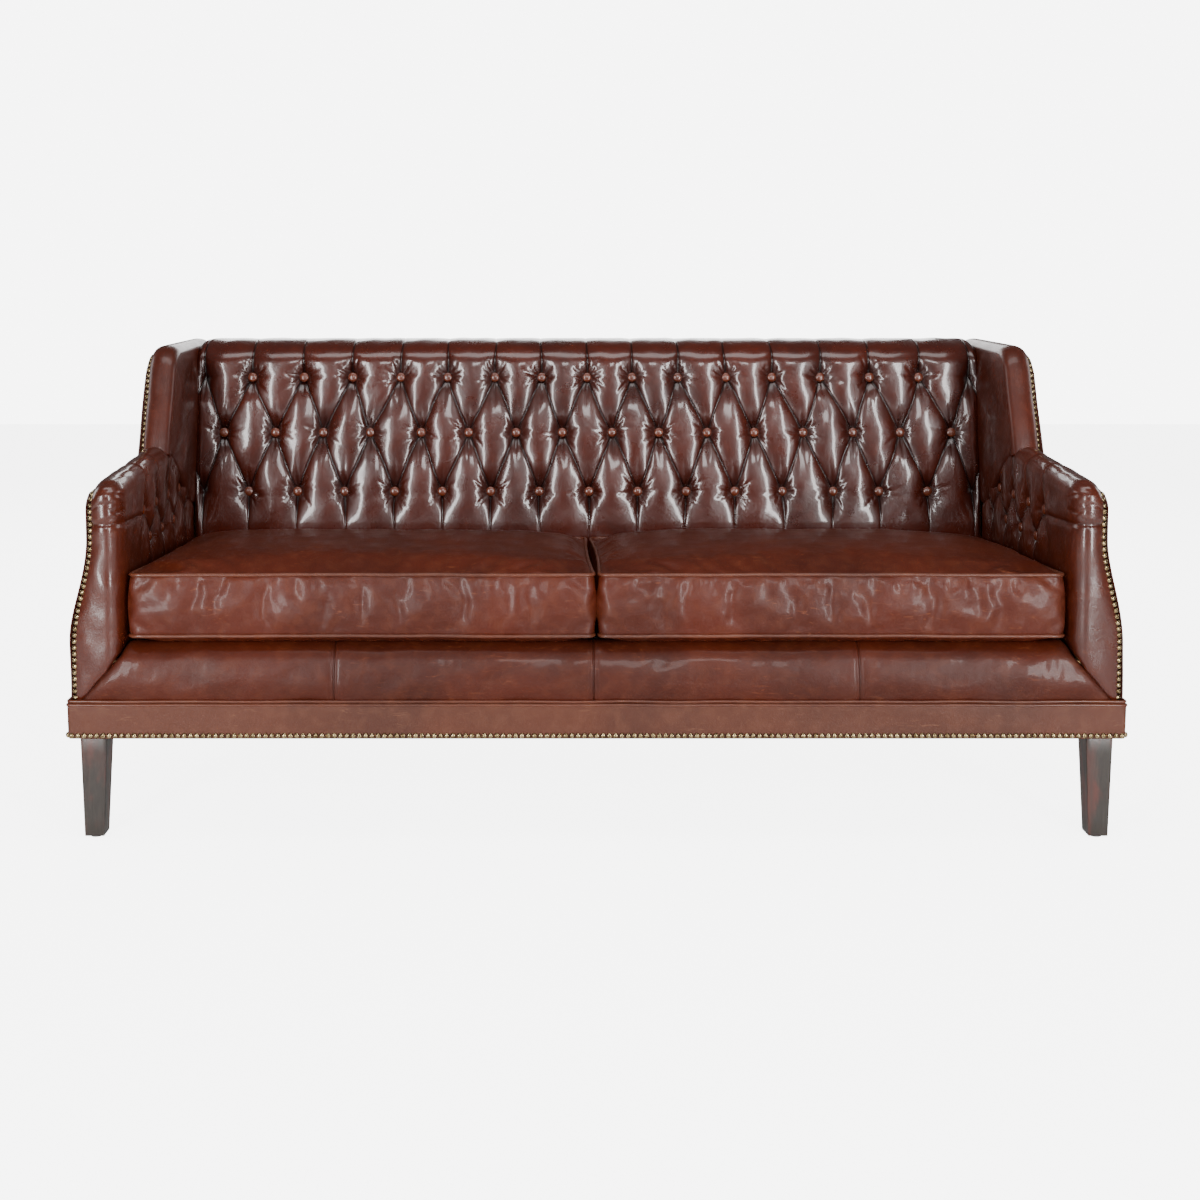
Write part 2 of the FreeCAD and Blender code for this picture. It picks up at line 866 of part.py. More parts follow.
# Wing upholstery
def wing_ring(grow, x):
    """Points round the wing's side, from its foot over the top and back along the frame."""
    edges = wing_side_edges(grow, x)
    start = edges[0].Vertexes[0].Point
    seat_edge = back_face_depth - soft_clearance
    corners = [(outside_back_outer(outside_back_top), outside_back_top),
               (outside_back_inner(outside_back_top), outside_back_top),
               (outside_back_inner(top_rail_height), top_rail_height),
               (back_frame_face(top_rail_height), top_rail_height),
               (back_frame_depth, lower_rail_height),
               (back_frame_depth, deck_level(back_frame_depth)),
               (seat_edge, deck_level(seat_edge))]
    ring = outline_points(edges) + [V(x, at(depth), height) for depth, height in corners]
    return ring + [V(x, start.y, arm_rail_level(wing_start) - wing_roll)]


def right_wing_pad():
    width = frame_outer_half - arm_inner_half
    shares = ((0.0, -0.2), (0.1, 0.45), (0.26, 0.8), (0.5, 1.0), (0.78, 0.8), (1.0, 0.12))
    rings = [wing_ring(wing_roll * grow, arm_inner_half + width * across) for across, grow in shares]
    pad = ring_solid(rings)
    return pad.cut([arm_seam_side(), right_arm_lining(), right_wing_board(), right_arm_rail(),
                    back_post_blank()])


# Deep-buttoned inside back, a faceted skin over the back's frame
def ripple(turn):
    """Zero on a pleat and one midway between two pleats."""
    return abs(math.sin(math.pi * turn))


def tuft_sink(column, row, last_row, button_deep, pleat_deep):
    """How deep the leather is drawn in at a column in half pitches and a row of buttons."""
    if 0.0 <= row <= last_row:
        rising = ripple((column + row) / 2.0)
        falling = ripple((column - row) / 2.0)
        pleat = rising + falling - rising * falling
        pillow = math.sqrt(rising * falling)
        return button_deep - (button_deep - pleat_deep) * pleat - pleat_deep * pillow
    beyond = row - last_row if row > last_row else -row
    fade = max(0.0, 1.0 - beyond)
    far_sink = pleat_deep * max(0.0, 1.0 - beyond / 1.6)
    pleat = far_sink + (button_deep - far_sink) * fade ** 3
    shift = last_row if row > last_row else 0.0
    return pleat * (1.0 - ripple((column + shift) / 2.0))


def tufted_pad(skin, lattice, rows, low_end, high_end):
    """A solid between a tufted grid of points and the frame's line at its two ends."""
    faces = []
    for n in range(len(skin) - 1):
        for m in range(len(lattice) - 1):
            a, b = skin[n][m], skin[n][m + 1]
            c, d = skin[n + 1][m + 1], skin[n + 1][m]
            column = (lattice[m] + lattice[m + 1]) / 2.0
            row = (rows[n] + rows[n + 1]) / 2.0
            if ripple((column + row) / 2.0) < ripple((column - row) / 2.0):
                faces += [facet(a, b, d), facet(b, c, d)]
            else:
                faces += [facet(a, b, c), facet(a, c, d)]
    for n in range(len(low_end) - 1):
        faces.append(facet(low_end[n], high_end[n], high_end[n + 1], low_end[n + 1]))
    faces.append(facet(*([row[0] for row in skin] + low_end[::-1])))
    faces.append(facet(*([row[-1] for row in skin] + high_end[::-1])))
    faces.append(facet(*(skin[0] + [high_end[0], low_end[0]])))
    faces.append(facet(*(skin[-1] + [high_end[-1], low_end[-1]])))
    return closed_solid(faces)


def back_rows():
    """Rows of the skin from the seat up over the top: (depth, height, row of buttons)."""
    steps = tuft_steps
    foot = deck_level(back_face_depth)
    rows = []
    for n in range(steps):
        height = foot + (low_row_height - foot) * n / steps
        rows.append((back_face(height), height, (n - steps) * 1.5 / steps))
    for first, last, row in ((low_row_height, middle_row_height, 0), (middle_row_height, top_row_height, 1)):
        for n in range(steps):
            height = first + (last - first) * n / steps
            rows.append((back_face(height), height, row + n / steps))
    spring = outside_back_top - back_roll_drop
    rows.append((back_face(top_row_height), top_row_height, 2.0))
    rows.append((back_face((top_row_height + spring) / 2), (top_row_height + spring) / 2, 2.2))
    near = back_face(spring)
    middle = (near + overall_depth) / 2
    for angle in (0.0, 30.0, 60.0, 90.0, 125.0, 160.0):
        turn = math.radians(angle)
        depth = middle - (middle - near) * math.cos(turn)
        height = spring + (back_top - spring) * math.sin(turn)
        rows.append((depth, height, 2.4 + 1.2 * angle / 180.0))
    return rows


def back_columns():
    """Columns of the skin in half pitches, every step on the diagonals' lattice."""
    edge = (arm_inner_half - soft_clearance) / (button_pitch / 2.0)
    inside = int(edge * tuft_steps)
    columns = [n / tuft_steps for n in range(-inside, inside + 1)]
    return [-edge] + columns + [edge]


def back_skin():
    """Grid of points of the tufted skin, row by row, and the matching line on the frame."""
    rows = back_rows()
    columns = back_columns()
    skin = []
    for n, (depth, height, row) in enumerate(rows):
        below = rows[max(n - 1, 0)]
        above = rows[min(n + 1, len(rows) - 1)]
        run = V(0, above[0] - below[0], above[1] - below[1])
        inward = V(0, run.z, -run.y)
        inward.normalize()
        points = []
        for column in columns:
            sink = tuft_sink(column, row, 2, button_sink, pleat_sink)
            if column in (columns[0], columns[-1]):
                sink = max(sink, edge_sink)
            if row > 2.4:
                sink *= (len(rows) - 1.0 - n) / len(rows)
            if n == 0:
                inward = V(0, 1, -pitch_slope)
            points.append(V(column * button_pitch / 2.0, at(depth), height) + inward * sink)
        skin.append(points)
    return skin


def back_frame_line(x):
    """The pad's hidden line against webbing and rails, from the seat up over the top rail."""
    near = webbing_thickness
    foot = back_frame_depth - near
    places = [(foot, deck_level(foot)), (foot, lower_rail_height),
              (back_frame_face(top_rail_height) - near, top_rail_height),
              (outside_back_inner(top_rail_height), top_rail_height),
              (outside_back_inner(outside_back_top), outside_back_top),
              (outside_back_outer(outside_back_top), outside_back_top)]
    return [V(x, at(depth), height) for depth, height in places]


def back_pad():
    skin = back_skin()
    rows = [row for depth, height, row in back_rows()]
    return tufted_pad(skin, back_columns(), rows, back_frame_line(skin[0][0].x),
                      back_frame_line(skin[0][-1].x))


def back_buttons():
    buttons = []
    rows = ((low_row_height, top_row_count), (middle_row_height, top_row_count + 1),
            (top_row_height, top_row_count))
    lean = math.atan(back_recline)
    facing = V(0, -math.cos(lean), math.sin(lean))
    rim = button_sink - button_seat - 8 * soft_clearance
    for height, count in rows:
        for n in range(count):
            x = (n - (count - 1) / 2.0) * button_pitch
            face = V(x, at(back_face(height)), height)
            buttons.append(placed_button(face - facing * rim, facing))
    return Part.makeCompound(buttons)


# Loose cushions, modelled level with the sofa's front rail top and then pitched
def cushion_ring(half_x, half_y, share, bow, height):
    """Points round a cushion: bowed sides, rounded corners, drawn in to a share of its size."""
    radius = cushion_corner
    diagonal = radius * (1.0 - math.sqrt(0.5))
    ring = []
    for side in range(4):
        x, y = (half_x, half_y) if side % 2 == 0 else (half_y, half_x)
        quarter = [(-x, -y + radius), (-x + diagonal, -y + diagonal), (-x + radius, -y)]
        for n in range(1, side_steps):
            along = -1.0 + 2.0 * n / side_steps
            quarter.append((along * (x - radius), -y + bow * (1.0 - along * along)))
        for u, v in quarter:
            for turn in range(side):
                u, v = -v, u
            ring.append(V(u * share, v * share, height))
    return ring


def cushion_half_sizes():
    """Half the width and depth along the seams, inside the bulge of the boxing."""
    half_x = (arm_inner_half - cushion_arm_gap - cushion_gap / 2.0) / 2.0 - boxing_bulge
    return half_x, cushion_depth / 2.0


def placed_cushion(shape):
    half_x, half_y = cushion_half_sizes()
    centre = V(cushion_gap / 2.0 + boxing_bulge + half_x, at(cushion_front + half_y),
               front_rail_top + deck_rise + soft_clearance)
    moved = shape.copy()
    moved.translate(centre)
    return pitched(moved)


def crown_levels():
    """Share of the cushion's plan and height above its seam, over the crown to its flat middle."""
    return [(share, crown_height * (1.0 - share ** 2.4)) for share in (0.93, 0.82, 0.66, 0.46)]


def cushion_cover_form():
    half_x, half_y = cushion_half_sizes()
    top_seam = belly_height + boxing_height
    middle = belly_height + boxing_height / 2.0
    rings = [cushion_ring(half_x, half_y, 0.88, seam_bow, 0.0),
             cushion_ring(half_x, half_y, 1.0, seam_bow, belly_height),
             cushion_ring(half_x + boxing_bulge, half_y + boxing_bulge, 1.0, seam_bow, middle),
             cushion_ring(half_x, half_y, 1.0, seam_bow, top_seam)]
    for share, rise in crown_levels():
        rings.append(cushion_ring(half_x, half_y, share, seam_bow, top_seam + rise))
    return ring_solid(rings)


def cushion_core_form(clearance):
    half_x, half_y = cushion_half_sizes()
    skin = cover_thickness - clearance
    inset = seam_bow + skin
    top_seam = belly_height + boxing_height
    rings = [cushion_ring(half_x - inset, half_y - inset, 0.86, 0.0, skin),
             cushion_ring(half_x - inset, half_y - inset, 1.0, 0.0, belly_height + skin),
             cushion_ring(half_x - inset, half_y - inset, 1.0, 0.0, top_seam - skin)]
    for share, rise in crown_levels()[1:]:
        rings.append(cushion_ring(half_x - inset, half_y - inset, share, 0.0, top_seam + rise - 2 * skin))
    return ring_solid(rings)


def right_cushion_cover():
    return placed_cushion(cushion_cover_form().cut(cushion_core_form(core_clearance)))


def right_cushion_core():
    return placed_cushion(cushion_core_form(0.0))


def main():
    os.makedirs("parts", exist_ok=True)
    export_base_band()
    export("base_welt", base_welt())
    export("front_seat_rail", front_seat_rail())
    export("rear_seat_rail", rear_seat_rail())
    export_pair("seat_rail", right_seat_rail())
    export("centre_seat_brace", centre_seat_brace())
    export("corner_blocks", corner_blocks())
    export_pair("front_post", right_front_post())
    export_pair("back_post", right_back_post())
    export_pair("arm_rail", right_arm_rail())
    export_pair("arm_lining", right_arm_lining())
    export_pair("wing_board", right_wing_board())
    export("back_lower_rail", back_lower_rail())
    export("back_top_rail", back_top_rail())
    export("back_uprights", back_uprights())
    export("back_webbing", back_webbing())
    export_pair("front_leg", right_leg(False))
    export_pair("rear_leg", right_leg(True))
    export("leg_bolts", leg_bolts())
    export("leg_glides", leg_glides())
    export("dust_cover", dust_cover())
    export("seat_springs", seat_springs())
    export("spring_clips", spring_clips())
    export("seat_decking", seat_decking())
    export("seat_front_border", seat_front_border())
    export_pair("arm_facing", right_arm_facing())
    export_pair("arm_pad", right_arm_pad())
    export_pair("arm_buttons", right_arm_buttons())
    export_pair("outside_arm_panel", right_outside_arm_panel())
    export("outside_back_panel", outside_back_panel())
    export_pair("wing_pad", right_wing_pad())
    export("back_pad", back_pad())
    export("back_buttons", back_buttons())
    export_pair("cushion_cover", right_cushion_cover())
    export_pair("cushion_core", right_cushion_core())


main()
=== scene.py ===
import json
import math

import bmesh
import bpy
import numpy as np
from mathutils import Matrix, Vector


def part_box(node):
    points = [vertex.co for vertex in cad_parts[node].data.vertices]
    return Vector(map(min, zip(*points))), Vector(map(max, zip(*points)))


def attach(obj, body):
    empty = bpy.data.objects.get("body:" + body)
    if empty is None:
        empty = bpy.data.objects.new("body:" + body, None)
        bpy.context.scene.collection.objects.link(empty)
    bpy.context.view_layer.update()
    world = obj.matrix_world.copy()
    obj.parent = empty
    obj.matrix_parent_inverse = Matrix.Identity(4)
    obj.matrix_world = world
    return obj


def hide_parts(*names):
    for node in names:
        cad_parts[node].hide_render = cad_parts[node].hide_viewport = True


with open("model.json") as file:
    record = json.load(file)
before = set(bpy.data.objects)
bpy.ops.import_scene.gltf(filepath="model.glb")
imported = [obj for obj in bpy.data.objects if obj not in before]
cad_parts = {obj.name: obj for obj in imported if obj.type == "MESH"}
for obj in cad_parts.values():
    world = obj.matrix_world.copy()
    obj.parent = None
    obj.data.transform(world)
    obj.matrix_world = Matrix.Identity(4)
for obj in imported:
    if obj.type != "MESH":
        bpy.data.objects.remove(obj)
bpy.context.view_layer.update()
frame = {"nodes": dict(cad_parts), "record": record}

# Real sizes of the sofa in millimetres, the same as in its construction.
# A depth is measured backwards from the front face of the base band.
MM = 0.001
OVERALL_DEPTH = 830.0
HALF_WIDTH = 1000.0
UNDERSIDE = 196.0
BAND_TOP = 265.0
BODY_SETBACK = 5.0
ARM_FRONT_EDGE = 13.0
ARM_FRONT_APEX = 1.0
ARM_FRONT_CORE = 50.0
SEAT_FRAME_DEPTH = 780.0

ARM_INNER = 893.0
ARM_OUTER = 962.0
ARM_NAIL_EDGE = 951.0
FLARE_TOP = 575.0
FLARE_FOOT = 375.0
ARM_ROLL = 32.0
CROWN_X = ARM_INNER + ARM_ROLL
CROWN_FRONT = 682.0
CROWN_RISE = 24.0 / 396.0
EDGE_DROP = 24.0

WING_START = 396.0
WING_TOP = 888.0
WING_ROLL = 25.0
BACK_TOP = 918.0
OUTSIDE_BACK_TOP = 880.0
BACK_FACE = 597.0
BACK_BREAK = 503.0
BACK_RECLINE = 0.121

BUTTON_PITCH = 109.0
LOW_ROW, MIDDLE_ROW, TOP_ROW = 575.0, 708.0, 833.0
BUTTON_SINK = 25.0
PLEAT_SINK = 10.0

ARM_BUTTON_START = 200.0
ARM_BUTTON_PITCH = 100.0
ARM_BUTTON_HEIGHT = 600.0
ARM_ROW_DROP = 62.0
ARM_BUTTON_COUNT = 4

FRONT_RAIL_BACK = 44.0
FRONT_RAIL_TOP = 340.0
SEAT_PITCH = math.radians(3.5)
DECK_RISE = 32.0

LEATHER = 3.0
NAIL_PITCH = 11.8
SIGN = {"left": -1.0, "right": 1.0}


# Shared measures of the form
def at(depth):
    """Place from front to back in the frame, in millimetres, of a depth behind the band's face."""
    return depth - OVERALL_DEPTH / 2.0


def deck_level(depth):
    """Height of the top of the decking, which slopes down towards the back."""
    return FRONT_RAIL_TOP + DECK_RISE - math.tan(SEAT_PITCH) * (depth - FRONT_RAIL_BACK)


def arm_crown(depth):
    return CROWN_FRONT + CROWN_RISE * depth


def outside_back(height):
    """Depth of the outside back, which leans out from the band up to the overall depth."""
    foot = SEAT_FRAME_DEPTH - BODY_SETBACK
    return foot + (OVERALL_DEPTH - foot) * (height - BAND_TOP) / (OUTSIDE_BACK_TOP - BAND_TOP)


def flare_x(height, outer=ARM_OUTER):
    """Half width of the arm's outside at a height: upright, flared, upright again at the foot."""
    share = np.clip((FLARE_TOP - height) / (FLARE_TOP - FLARE_FOOT), 0.0, 1.0)
    return outer + (HALF_WIDTH - BODY_SETBACK - ARM_OUTER) * share * share * (3.0 - 2.0 * share)


def smooth_step(value, low, high):
    """Nothing below the low value, one above the high one, and a soft step between."""
    share = np.clip((value - low) / (high - low), 0.0, 1.0)
    return share * share * (3.0 - 2.0 * share)


def arc_between(a, middle, b, count):
    """Points of the circle through three places, from a to b."""
    ax, ay = a
    bx, by = middle
    cx, cy = b
    a_square, b_square, c_square = ax * ax + ay * ay, bx * bx + by * by, cx * cx + cy * cy
    d = 2.0 * (ax * (by - cy) + bx * (cy - ay) + cx * (ay - by))
    ux = (a_square * (by - cy) + b_square * (cy - ay) + c_square * (ay - by)) / d
    uy = (a_square * (cx - bx) + b_square * (ax - cx) + c_square * (bx - ax)) / d
    start = math.atan2(ay - uy, ax - ux)
    sweep = (math.atan2(cy - uy, cx - ux) - start + math.pi) % (2.0 * math.pi) - math.pi
    radius = math.hypot(ax - ux, ay - uy)
    turns = start + sweep * np.linspace(0.0, 1.0, count)
    return np.stack([ux + radius * np.cos(turns), uy + radius * np.sin(turns)], axis=1)


def even_steps(points, count):
    """The same path with points at equal steps along it."""
    points = np.asarray(points, dtype=float)
    lengths = np.concatenate([[0.0], np.cumsum(np.linalg.norm(np.diff(points, axis=0), axis=1))])
    wanted = np.linspace(0.0, lengths[-1], count)
    return np.stack([np.interp(wanted, lengths, points[:, n]) for n in range(points.shape[1])], axis=1)


def unit(vectors):
    return vectors / np.linalg.norm(vectors, axis=1)[:, None]


def across_path(ahead):
    """Directions square to those along a path in a plane, to the left of the way it runs."""
    return np.stack([-ahead[:, 1], ahead[:, 0]], axis=1)


def rumple(x, y, size, seed, layers=7):
    """Soft unevenness of about one, with waves of about the given size."""
    draw = np.random.RandomState(seed)
    total = 0.0
    for n in range(layers):
        turn = draw.uniform(0.0, 2.0 * math.pi)
        pace = 2.0 * math.pi / (size * draw.uniform(0.6, 1.7))
        total = total + np.sin(pace * (x * math.cos(turn) + y * math.sin(turn)) + draw.uniform(0.0, 6.28))
    return total / math.sqrt(layers)


# Making and finishing meshes
def deselect_all():
    bpy.ops.object.select_all(action="DESELECT")


def work_on(piece):
    deselect_all()
    piece.select_set(True)
    bpy.context.view_layer.objects.active = piece


def leather_sheet(name, columns, rows):
    """A flat grid with that many faces each way, and the column and row number of each point."""
    deselect_all()
    bpy.ops.mesh.primitive_grid_add(x_subdivisions=columns, y_subdivisions=rows, size=2.0)
    piece = bpy.context.active_object
    piece.name = name
    flat = points_of(piece)
    column = np.rint((flat[:, 0] + 1.0) / 2.0 * columns).astype(int)
    row = np.rint((flat[:, 1] + 1.0) / 2.0 * rows).astype(int)
    return piece, column, row


def points_of(piece):
    flat = np.empty(len(piece.data.vertices) * 3)
    piece.data.vertices.foreach_get("co", flat)
    return flat.reshape(-1, 3)


def set_points(piece, points):
    piece.data.vertices.foreach_set("co", np.ascontiguousarray(points, dtype=float).ravel())
    piece.data.update()


def lay(piece, x, depth, height):
    """Put the points of a piece where its width, depth and height say, in millimetres."""
    set_points(piece, np.stack([x, at(depth), height], axis=1) * MM)


def set_point_value(piece, name, values):
    layer = piece.data.attributes.new(name, "FLOAT", "POINT")
    layer.data.foreach_set("value", np.ascontiguousarray(values, dtype=np.float32))


def add_modifier(piece, kind, **settings):
    """Add a modifier to a piece and apply it."""
    work_on(piece)
    made = piece.modifiers.new(kind.title(), kind)
    for name, value in settings.items():
        setattr(made, name, value)
    bpy.ops.object.modifier_apply(modifier=made.name)


def round_shading(piece, degrees=None):
    work_on(piece)
    if degrees is None:
        bpy.ops.object.shade_smooth()
    else:
        bpy.ops.object.shade_smooth_by_angle(angle=math.radians(degrees))


def edit_all(piece, operator, **settings):
    """Run one operator of edit mode on the whole of a piece."""
    work_on(piece)
    bpy.ops.object.mode_set(mode="EDIT")
    bpy.ops.mesh.select_all(action="SELECT")
    operator(**settings)
    bpy.ops.object.mode_set(mode="OBJECT")


def faces_outward(piece):
    edit_all(piece, bpy.ops.mesh.normals_make_consistent, inside=False)


def merge_points(piece, distance=0.05 * MM):
    edit_all(piece, bpy.ops.mesh.remove_doubles, threshold=distance)


def orient_by(piece, direction):
    """Turn all faces over where most of the area looks away from a direction."""
    total = sum(f.normal.dot(direction) * f.area for f in piece.data.polygons)
    if total < 0.0:
        edit_all(piece, bpy.ops.mesh.flip_normals)


def join_pieces(pieces, name):
    deselect_all()
    for piece in pieces:
        piece.select_set(True)
    bpy.context.view_layer.objects.active = pieces[0]
    bpy.ops.object.join()
    pieces[0].name = name
    return pieces[0]


def dress(piece, material, slot, body, *nodes):
    """Give a piece its finish, its body and the solids that it stands for."""
    piece.data.materials.clear()
    piece.data.materials.append(material)
    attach(piece, body)
    if nodes:
        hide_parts(*nodes)


# Materials
def linear(colour):
    """Linear red, green, blue and alpha of an sRGB colour in hexadecimal."""
    parts = [int(colour[n:n + 2], 16) / 255.0 for n in (1, 3, 5)]
    return [p / 12.92 if p <= 0.04045 else ((p + 0.055) / 1.055) ** 2.4 for p in parts] + [1.0]


def new_material(name):
    material = bpy.data.materials.new(name)
    material.use_nodes = True
    material.node_tree.nodes.clear()
    return material, material.node_tree


def add_node(tree, kind, inputs=None, output=0, **settings):
    """Add one node, set or link its inputs, and return one of its outputs."""
    made = tree.nodes.new("ShaderNode" + kind)
    for name, value in settings.items():
        setattr(made, name, value)
    for key, value in (inputs or {}).items():
        if isinstance(value, bpy.types.NodeSocket):
            tree.links.new(value, made.inputs[key])
        else:
            made.inputs[key].default_value = value
    return made.outputs[output] if made.outputs else None


def per_metre(size):
    """How often a pattern of a size in millimetres comes in a metre."""
    return 1.0 / (size * MM)


def object_place(tree, stretch=(1.0, 1.0, 1.0)):
    """Place on the piece; a share under one along an axis draws a pattern out along it."""
    place = add_node(tree, "TexCoord", output="Object")
    return add_node(tree, "Mapping", {"Vector": place, "Scale": stretch})


def patchy(tree, place, size, detail, distortion, low, high):
    """Patches of a size in millimetres, from none where the noise is low to full where it is high."""
    uneven = add_node(tree, "TexNoise", {"Vector": place, "Scale": per_metre(size), "Detail": detail,
                                         "Distortion": distortion})
    return add_node(tree, "MapRange", {"Value": uneven, "From Min": low, "From Max": high},
                    interpolation_type="SMOOTHSTEP")


def stain_or_shade(tree, colour, pattern, strength, stain):
    """A colour turned towards a second colour where a pattern shows, by no more than a strength; it serves
    both for real stains and tones and for painted shade.
    """
    share = add_node(tree, "Math", {0: pattern, 1: strength}, operation="MULTIPLY")
    return add_node(tree, "Mix", {0: share, 6: colour, 7: linear(stain)}, 2, data_type="RGBA")


def surface(tree, **inputs):
    """The shader and the material's output; an input's name has underscores for its spaces."""
    words = {key.replace("_", " "): value for key, value in inputs.items()}
    add_node(tree, "OutputMaterial", {"Surface": add_node(tree, "BsdfPrincipled", words)})


def pulled_folds(tree):
    """Small folds that run out from the nearest button, where the leather is drawn towards it."""
    pull = add_node(tree, "Attribute", output="Vector", attribute_name="pull")
    way = add_node(tree, "VectorMath", {0: pull}, operation="NORMALIZE")
    button = add_node(tree, "Attribute", output="Fac", attribute_name="button")
    number = add_node(tree, "CombineXYZ", {"Z": button})
    around = add_node(tree, "VectorMath", {0: way, 1: (2.3, 2.3, 0.0), 2: number}, operation="MULTIPLY_ADD")
    waves = add_node(tree, "TexNoise", {"Vector": around, "Scale": 1.0, "Detail": 3.0})
    swing = add_node(tree, "Math", {0: waves, 1: 0.5}, operation="SUBTRACT")
    ridges = add_node(tree, "Math", {0: swing}, operation="ABSOLUTE")
    near = add_node(tree, "Attribute", output="Fac", attribute_name="pull_near")
    return add_node(tree, "Math", {0: ridges, 1: near}, operation="MULTIPLY")


def aged_leather(name, base, deep, rubbed, scuffs, roughness, creases, coat, specular=0.5, folds=None):
    """Glazed cowhide, aged by use.

    To the eye it is cloudy, redder where it is rubbed, scuffed lengthwise and finely pebbled, with a gloss
    that varies; shade is painted dark into its dents, and into its pleats where it has folds. Creases and
    folds are heights in millimetres; only leather that buttons draw in has folds.
    """
    material, tree = new_material(name)
    place = object_place(tree)
    clouds = patchy(tree, place, 250.0, 4.0, 0.6, 0.35, 0.68)
    mottle = patchy(tree, place, 26.3, 6.0, 0.4, 0.42, 0.72)
    scratches = patchy(tree, object_place(tree, (0.35, 1.0, 1.6)), 18.2, 8.0, 2.2, 0.60, 0.70)
    worn_places = patchy(tree, place, 111.0, 2.0, 0.0, 0.45, 0.62)
    scuffed = add_node(tree, "Math", {0: scratches, 1: worn_places}, operation="MULTIPLY")
    # Painted shade: leather drawn in at dents, pleats and seams is darkened towards its deep colour
    dent_shade = add_node(tree, "Attribute", output="Fac", attribute_name="dent_shade")
    colour = stain_or_shade(tree, linear(base), clouds, 0.38, deep)
    colour = stain_or_shade(tree, colour, mottle, 0.14, rubbed)
    colour = stain_or_shade(tree, colour, scuffed, scuffs, rubbed)
    colour = stain_or_shade(tree, colour, dent_shade, 0.8, deep)
    handled = add_node(tree, "TexNoise", {"Vector": place, "Scale": per_metre(41.7), "Detail": 5.0})
    gloss = add_node(tree, "MapRange", {"Value": handled, "To Min": roughness - 0.06,
                                        "To Max": roughness + 0.12})
    wrinkles = add_node(tree, "TexNoise", {"Vector": place, "Scale": per_metre(14.3), "Detail": 3.0,
                                           "Distortion": 0.8})
    normal = add_node(tree, "Bump", {"Height": wrinkles, "Distance": creases * MM})
    if folds:
        # A pleat is a pressed-in line, full at its heart and gone within three millimetres; its colour is
        # darkened towards the deep colour as painted shade in the crease
        pleat_off = add_node(tree, "Attribute", output="Fac", attribute_name="pleat_off")
        pleat = add_node(tree, "MapRange", {"Value": pleat_off, "From Min": 2.8, "From Max": 0.2},
                         interpolation_type="SMOOTHSTEP")
        colour = stain_or_shade(tree, colour, pleat, 0.75, deep)
        beside = add_node(tree, "Math", {0: 1.0, 1: pleat}, operation="SUBTRACT")
        normal = add_node(tree, "Bump", {"Height": beside, "Distance": 1.6 * MM, "Normal": normal})
        normal = add_node(tree, "Bump", {"Height": pulled_folds(tree), "Distance": folds * MM,
                                         "Normal": normal})
    # The pebbles and pores of the grain are drawn about twice as coarse as real ones, so that they show
    pebbles = add_node(tree, "TexVoronoi", {"Vector": place, "Scale": per_metre(1.61)})
    normal = add_node(tree, "Bump", {"Height": pebbles, "Distance": 0.10 * MM, "Normal": normal})
    pores = add_node(tree, "TexNoise", {"Vector": place, "Scale": per_metre(0.667), "Detail": 2.0})
    normal = add_node(tree, "Bump", {"Height": pores, "Distance": 0.05 * MM, "Normal": normal})
    surface(tree, Base_Color=colour, Roughness=gloss, Normal=normal, Coat_Weight=coat,
            Coat_Roughness=0.10, Specular_IOR_Level=specular)
    return material


def rubbed_wood():
    """Hardwood with a dark satin stain: near black, rubbed through to red-brown amid each face."""
    material, tree = new_material("rubbed_dark_wood")
    grain = add_node(tree, "TexNoise", {"Vector": object_place(tree, (1.0, 1.0, 0.16)),
                                        "Scale": per_metre(7.14), "Detail": 6.0, "Distortion": 1.2})
    rub = patchy(tree, object_place(tree, (1.0, 1.0, 0.35)), 38.5, 5.0, 0.5, 0.42, 0.66)
    worn = add_node(tree, "Attribute", output="Fac", attribute_name="worn")
    rubbed_through = add_node(tree, "Math", {0: rub, 1: worn}, operation="MULTIPLY")
    colour = stain_or_shade(tree, linear("#221d1a"), grain, 1.0, "#3d352f")
    colour = stain_or_shade(tree, colour, rubbed_through, 0.7, "#5c2d25")
    satin = add_node(tree, "MapRange", {"Value": grain, "To Min": 0.30, "To Max": 0.5})
    relief = add_node(tree, "Bump", {"Height": grain, "Distance": 0.25 * MM})
    surface(tree, Base_Color=colour, Roughness=satin, Normal=relief, Coat_Weight=0.15, Coat_Roughness=0.3)
    return material


def antique_brass():
    """Pressed and tarnished brass of the nail heads, its tarnish in small patches."""
    material, tree = new_material("antique_brass")
    place = object_place(tree)
    tarnish = patchy(tree, place, 6.25, 4.0, 0.0, 0.35, 0.7)
    colour = stain_or_shade(tree, linear("#b8a27a"), tarnish, 1.0, "#5e4c34")
    dulled = add_node(tree, "MapRange", {"Value": tarnish, "To Min": 0.18, "To Max": 0.36})
    pits = add_node(tree, "TexNoise", {"Vector": place, "Scale": per_metre(1.11), "Detail": 3.0})
    relief = add_node(tree, "Bump", {"Height": pits, "Distance": 0.05 * MM})
    surface(tree, Base_Color=colour, Metallic=1.0, Roughness=dulled, Normal=relief)
    return material


def sawn_wood():
    """Sawn beech or birch of the hidden frame: pale and dull, with long grain."""
    material, tree = new_material("sawn_hardwood")
    grain = add_node(tree, "TexNoise", {"Vector": object_place(tree, (0.12, 1.0, 1.0)),
                                        "Scale": per_metre(11.1), "Detail": 5.0, "Distortion": 0.8})
    relief = add_node(tree, "Bump", {"Height": grain, "Distance": 0.3 * MM})
    colour = stain_or_shade(tree, linear("#c8a677"), grain, 1.0, "#a98555")
    surface(tree, Base_Color=colour, Roughness=0.75, Normal=relief)
    return material


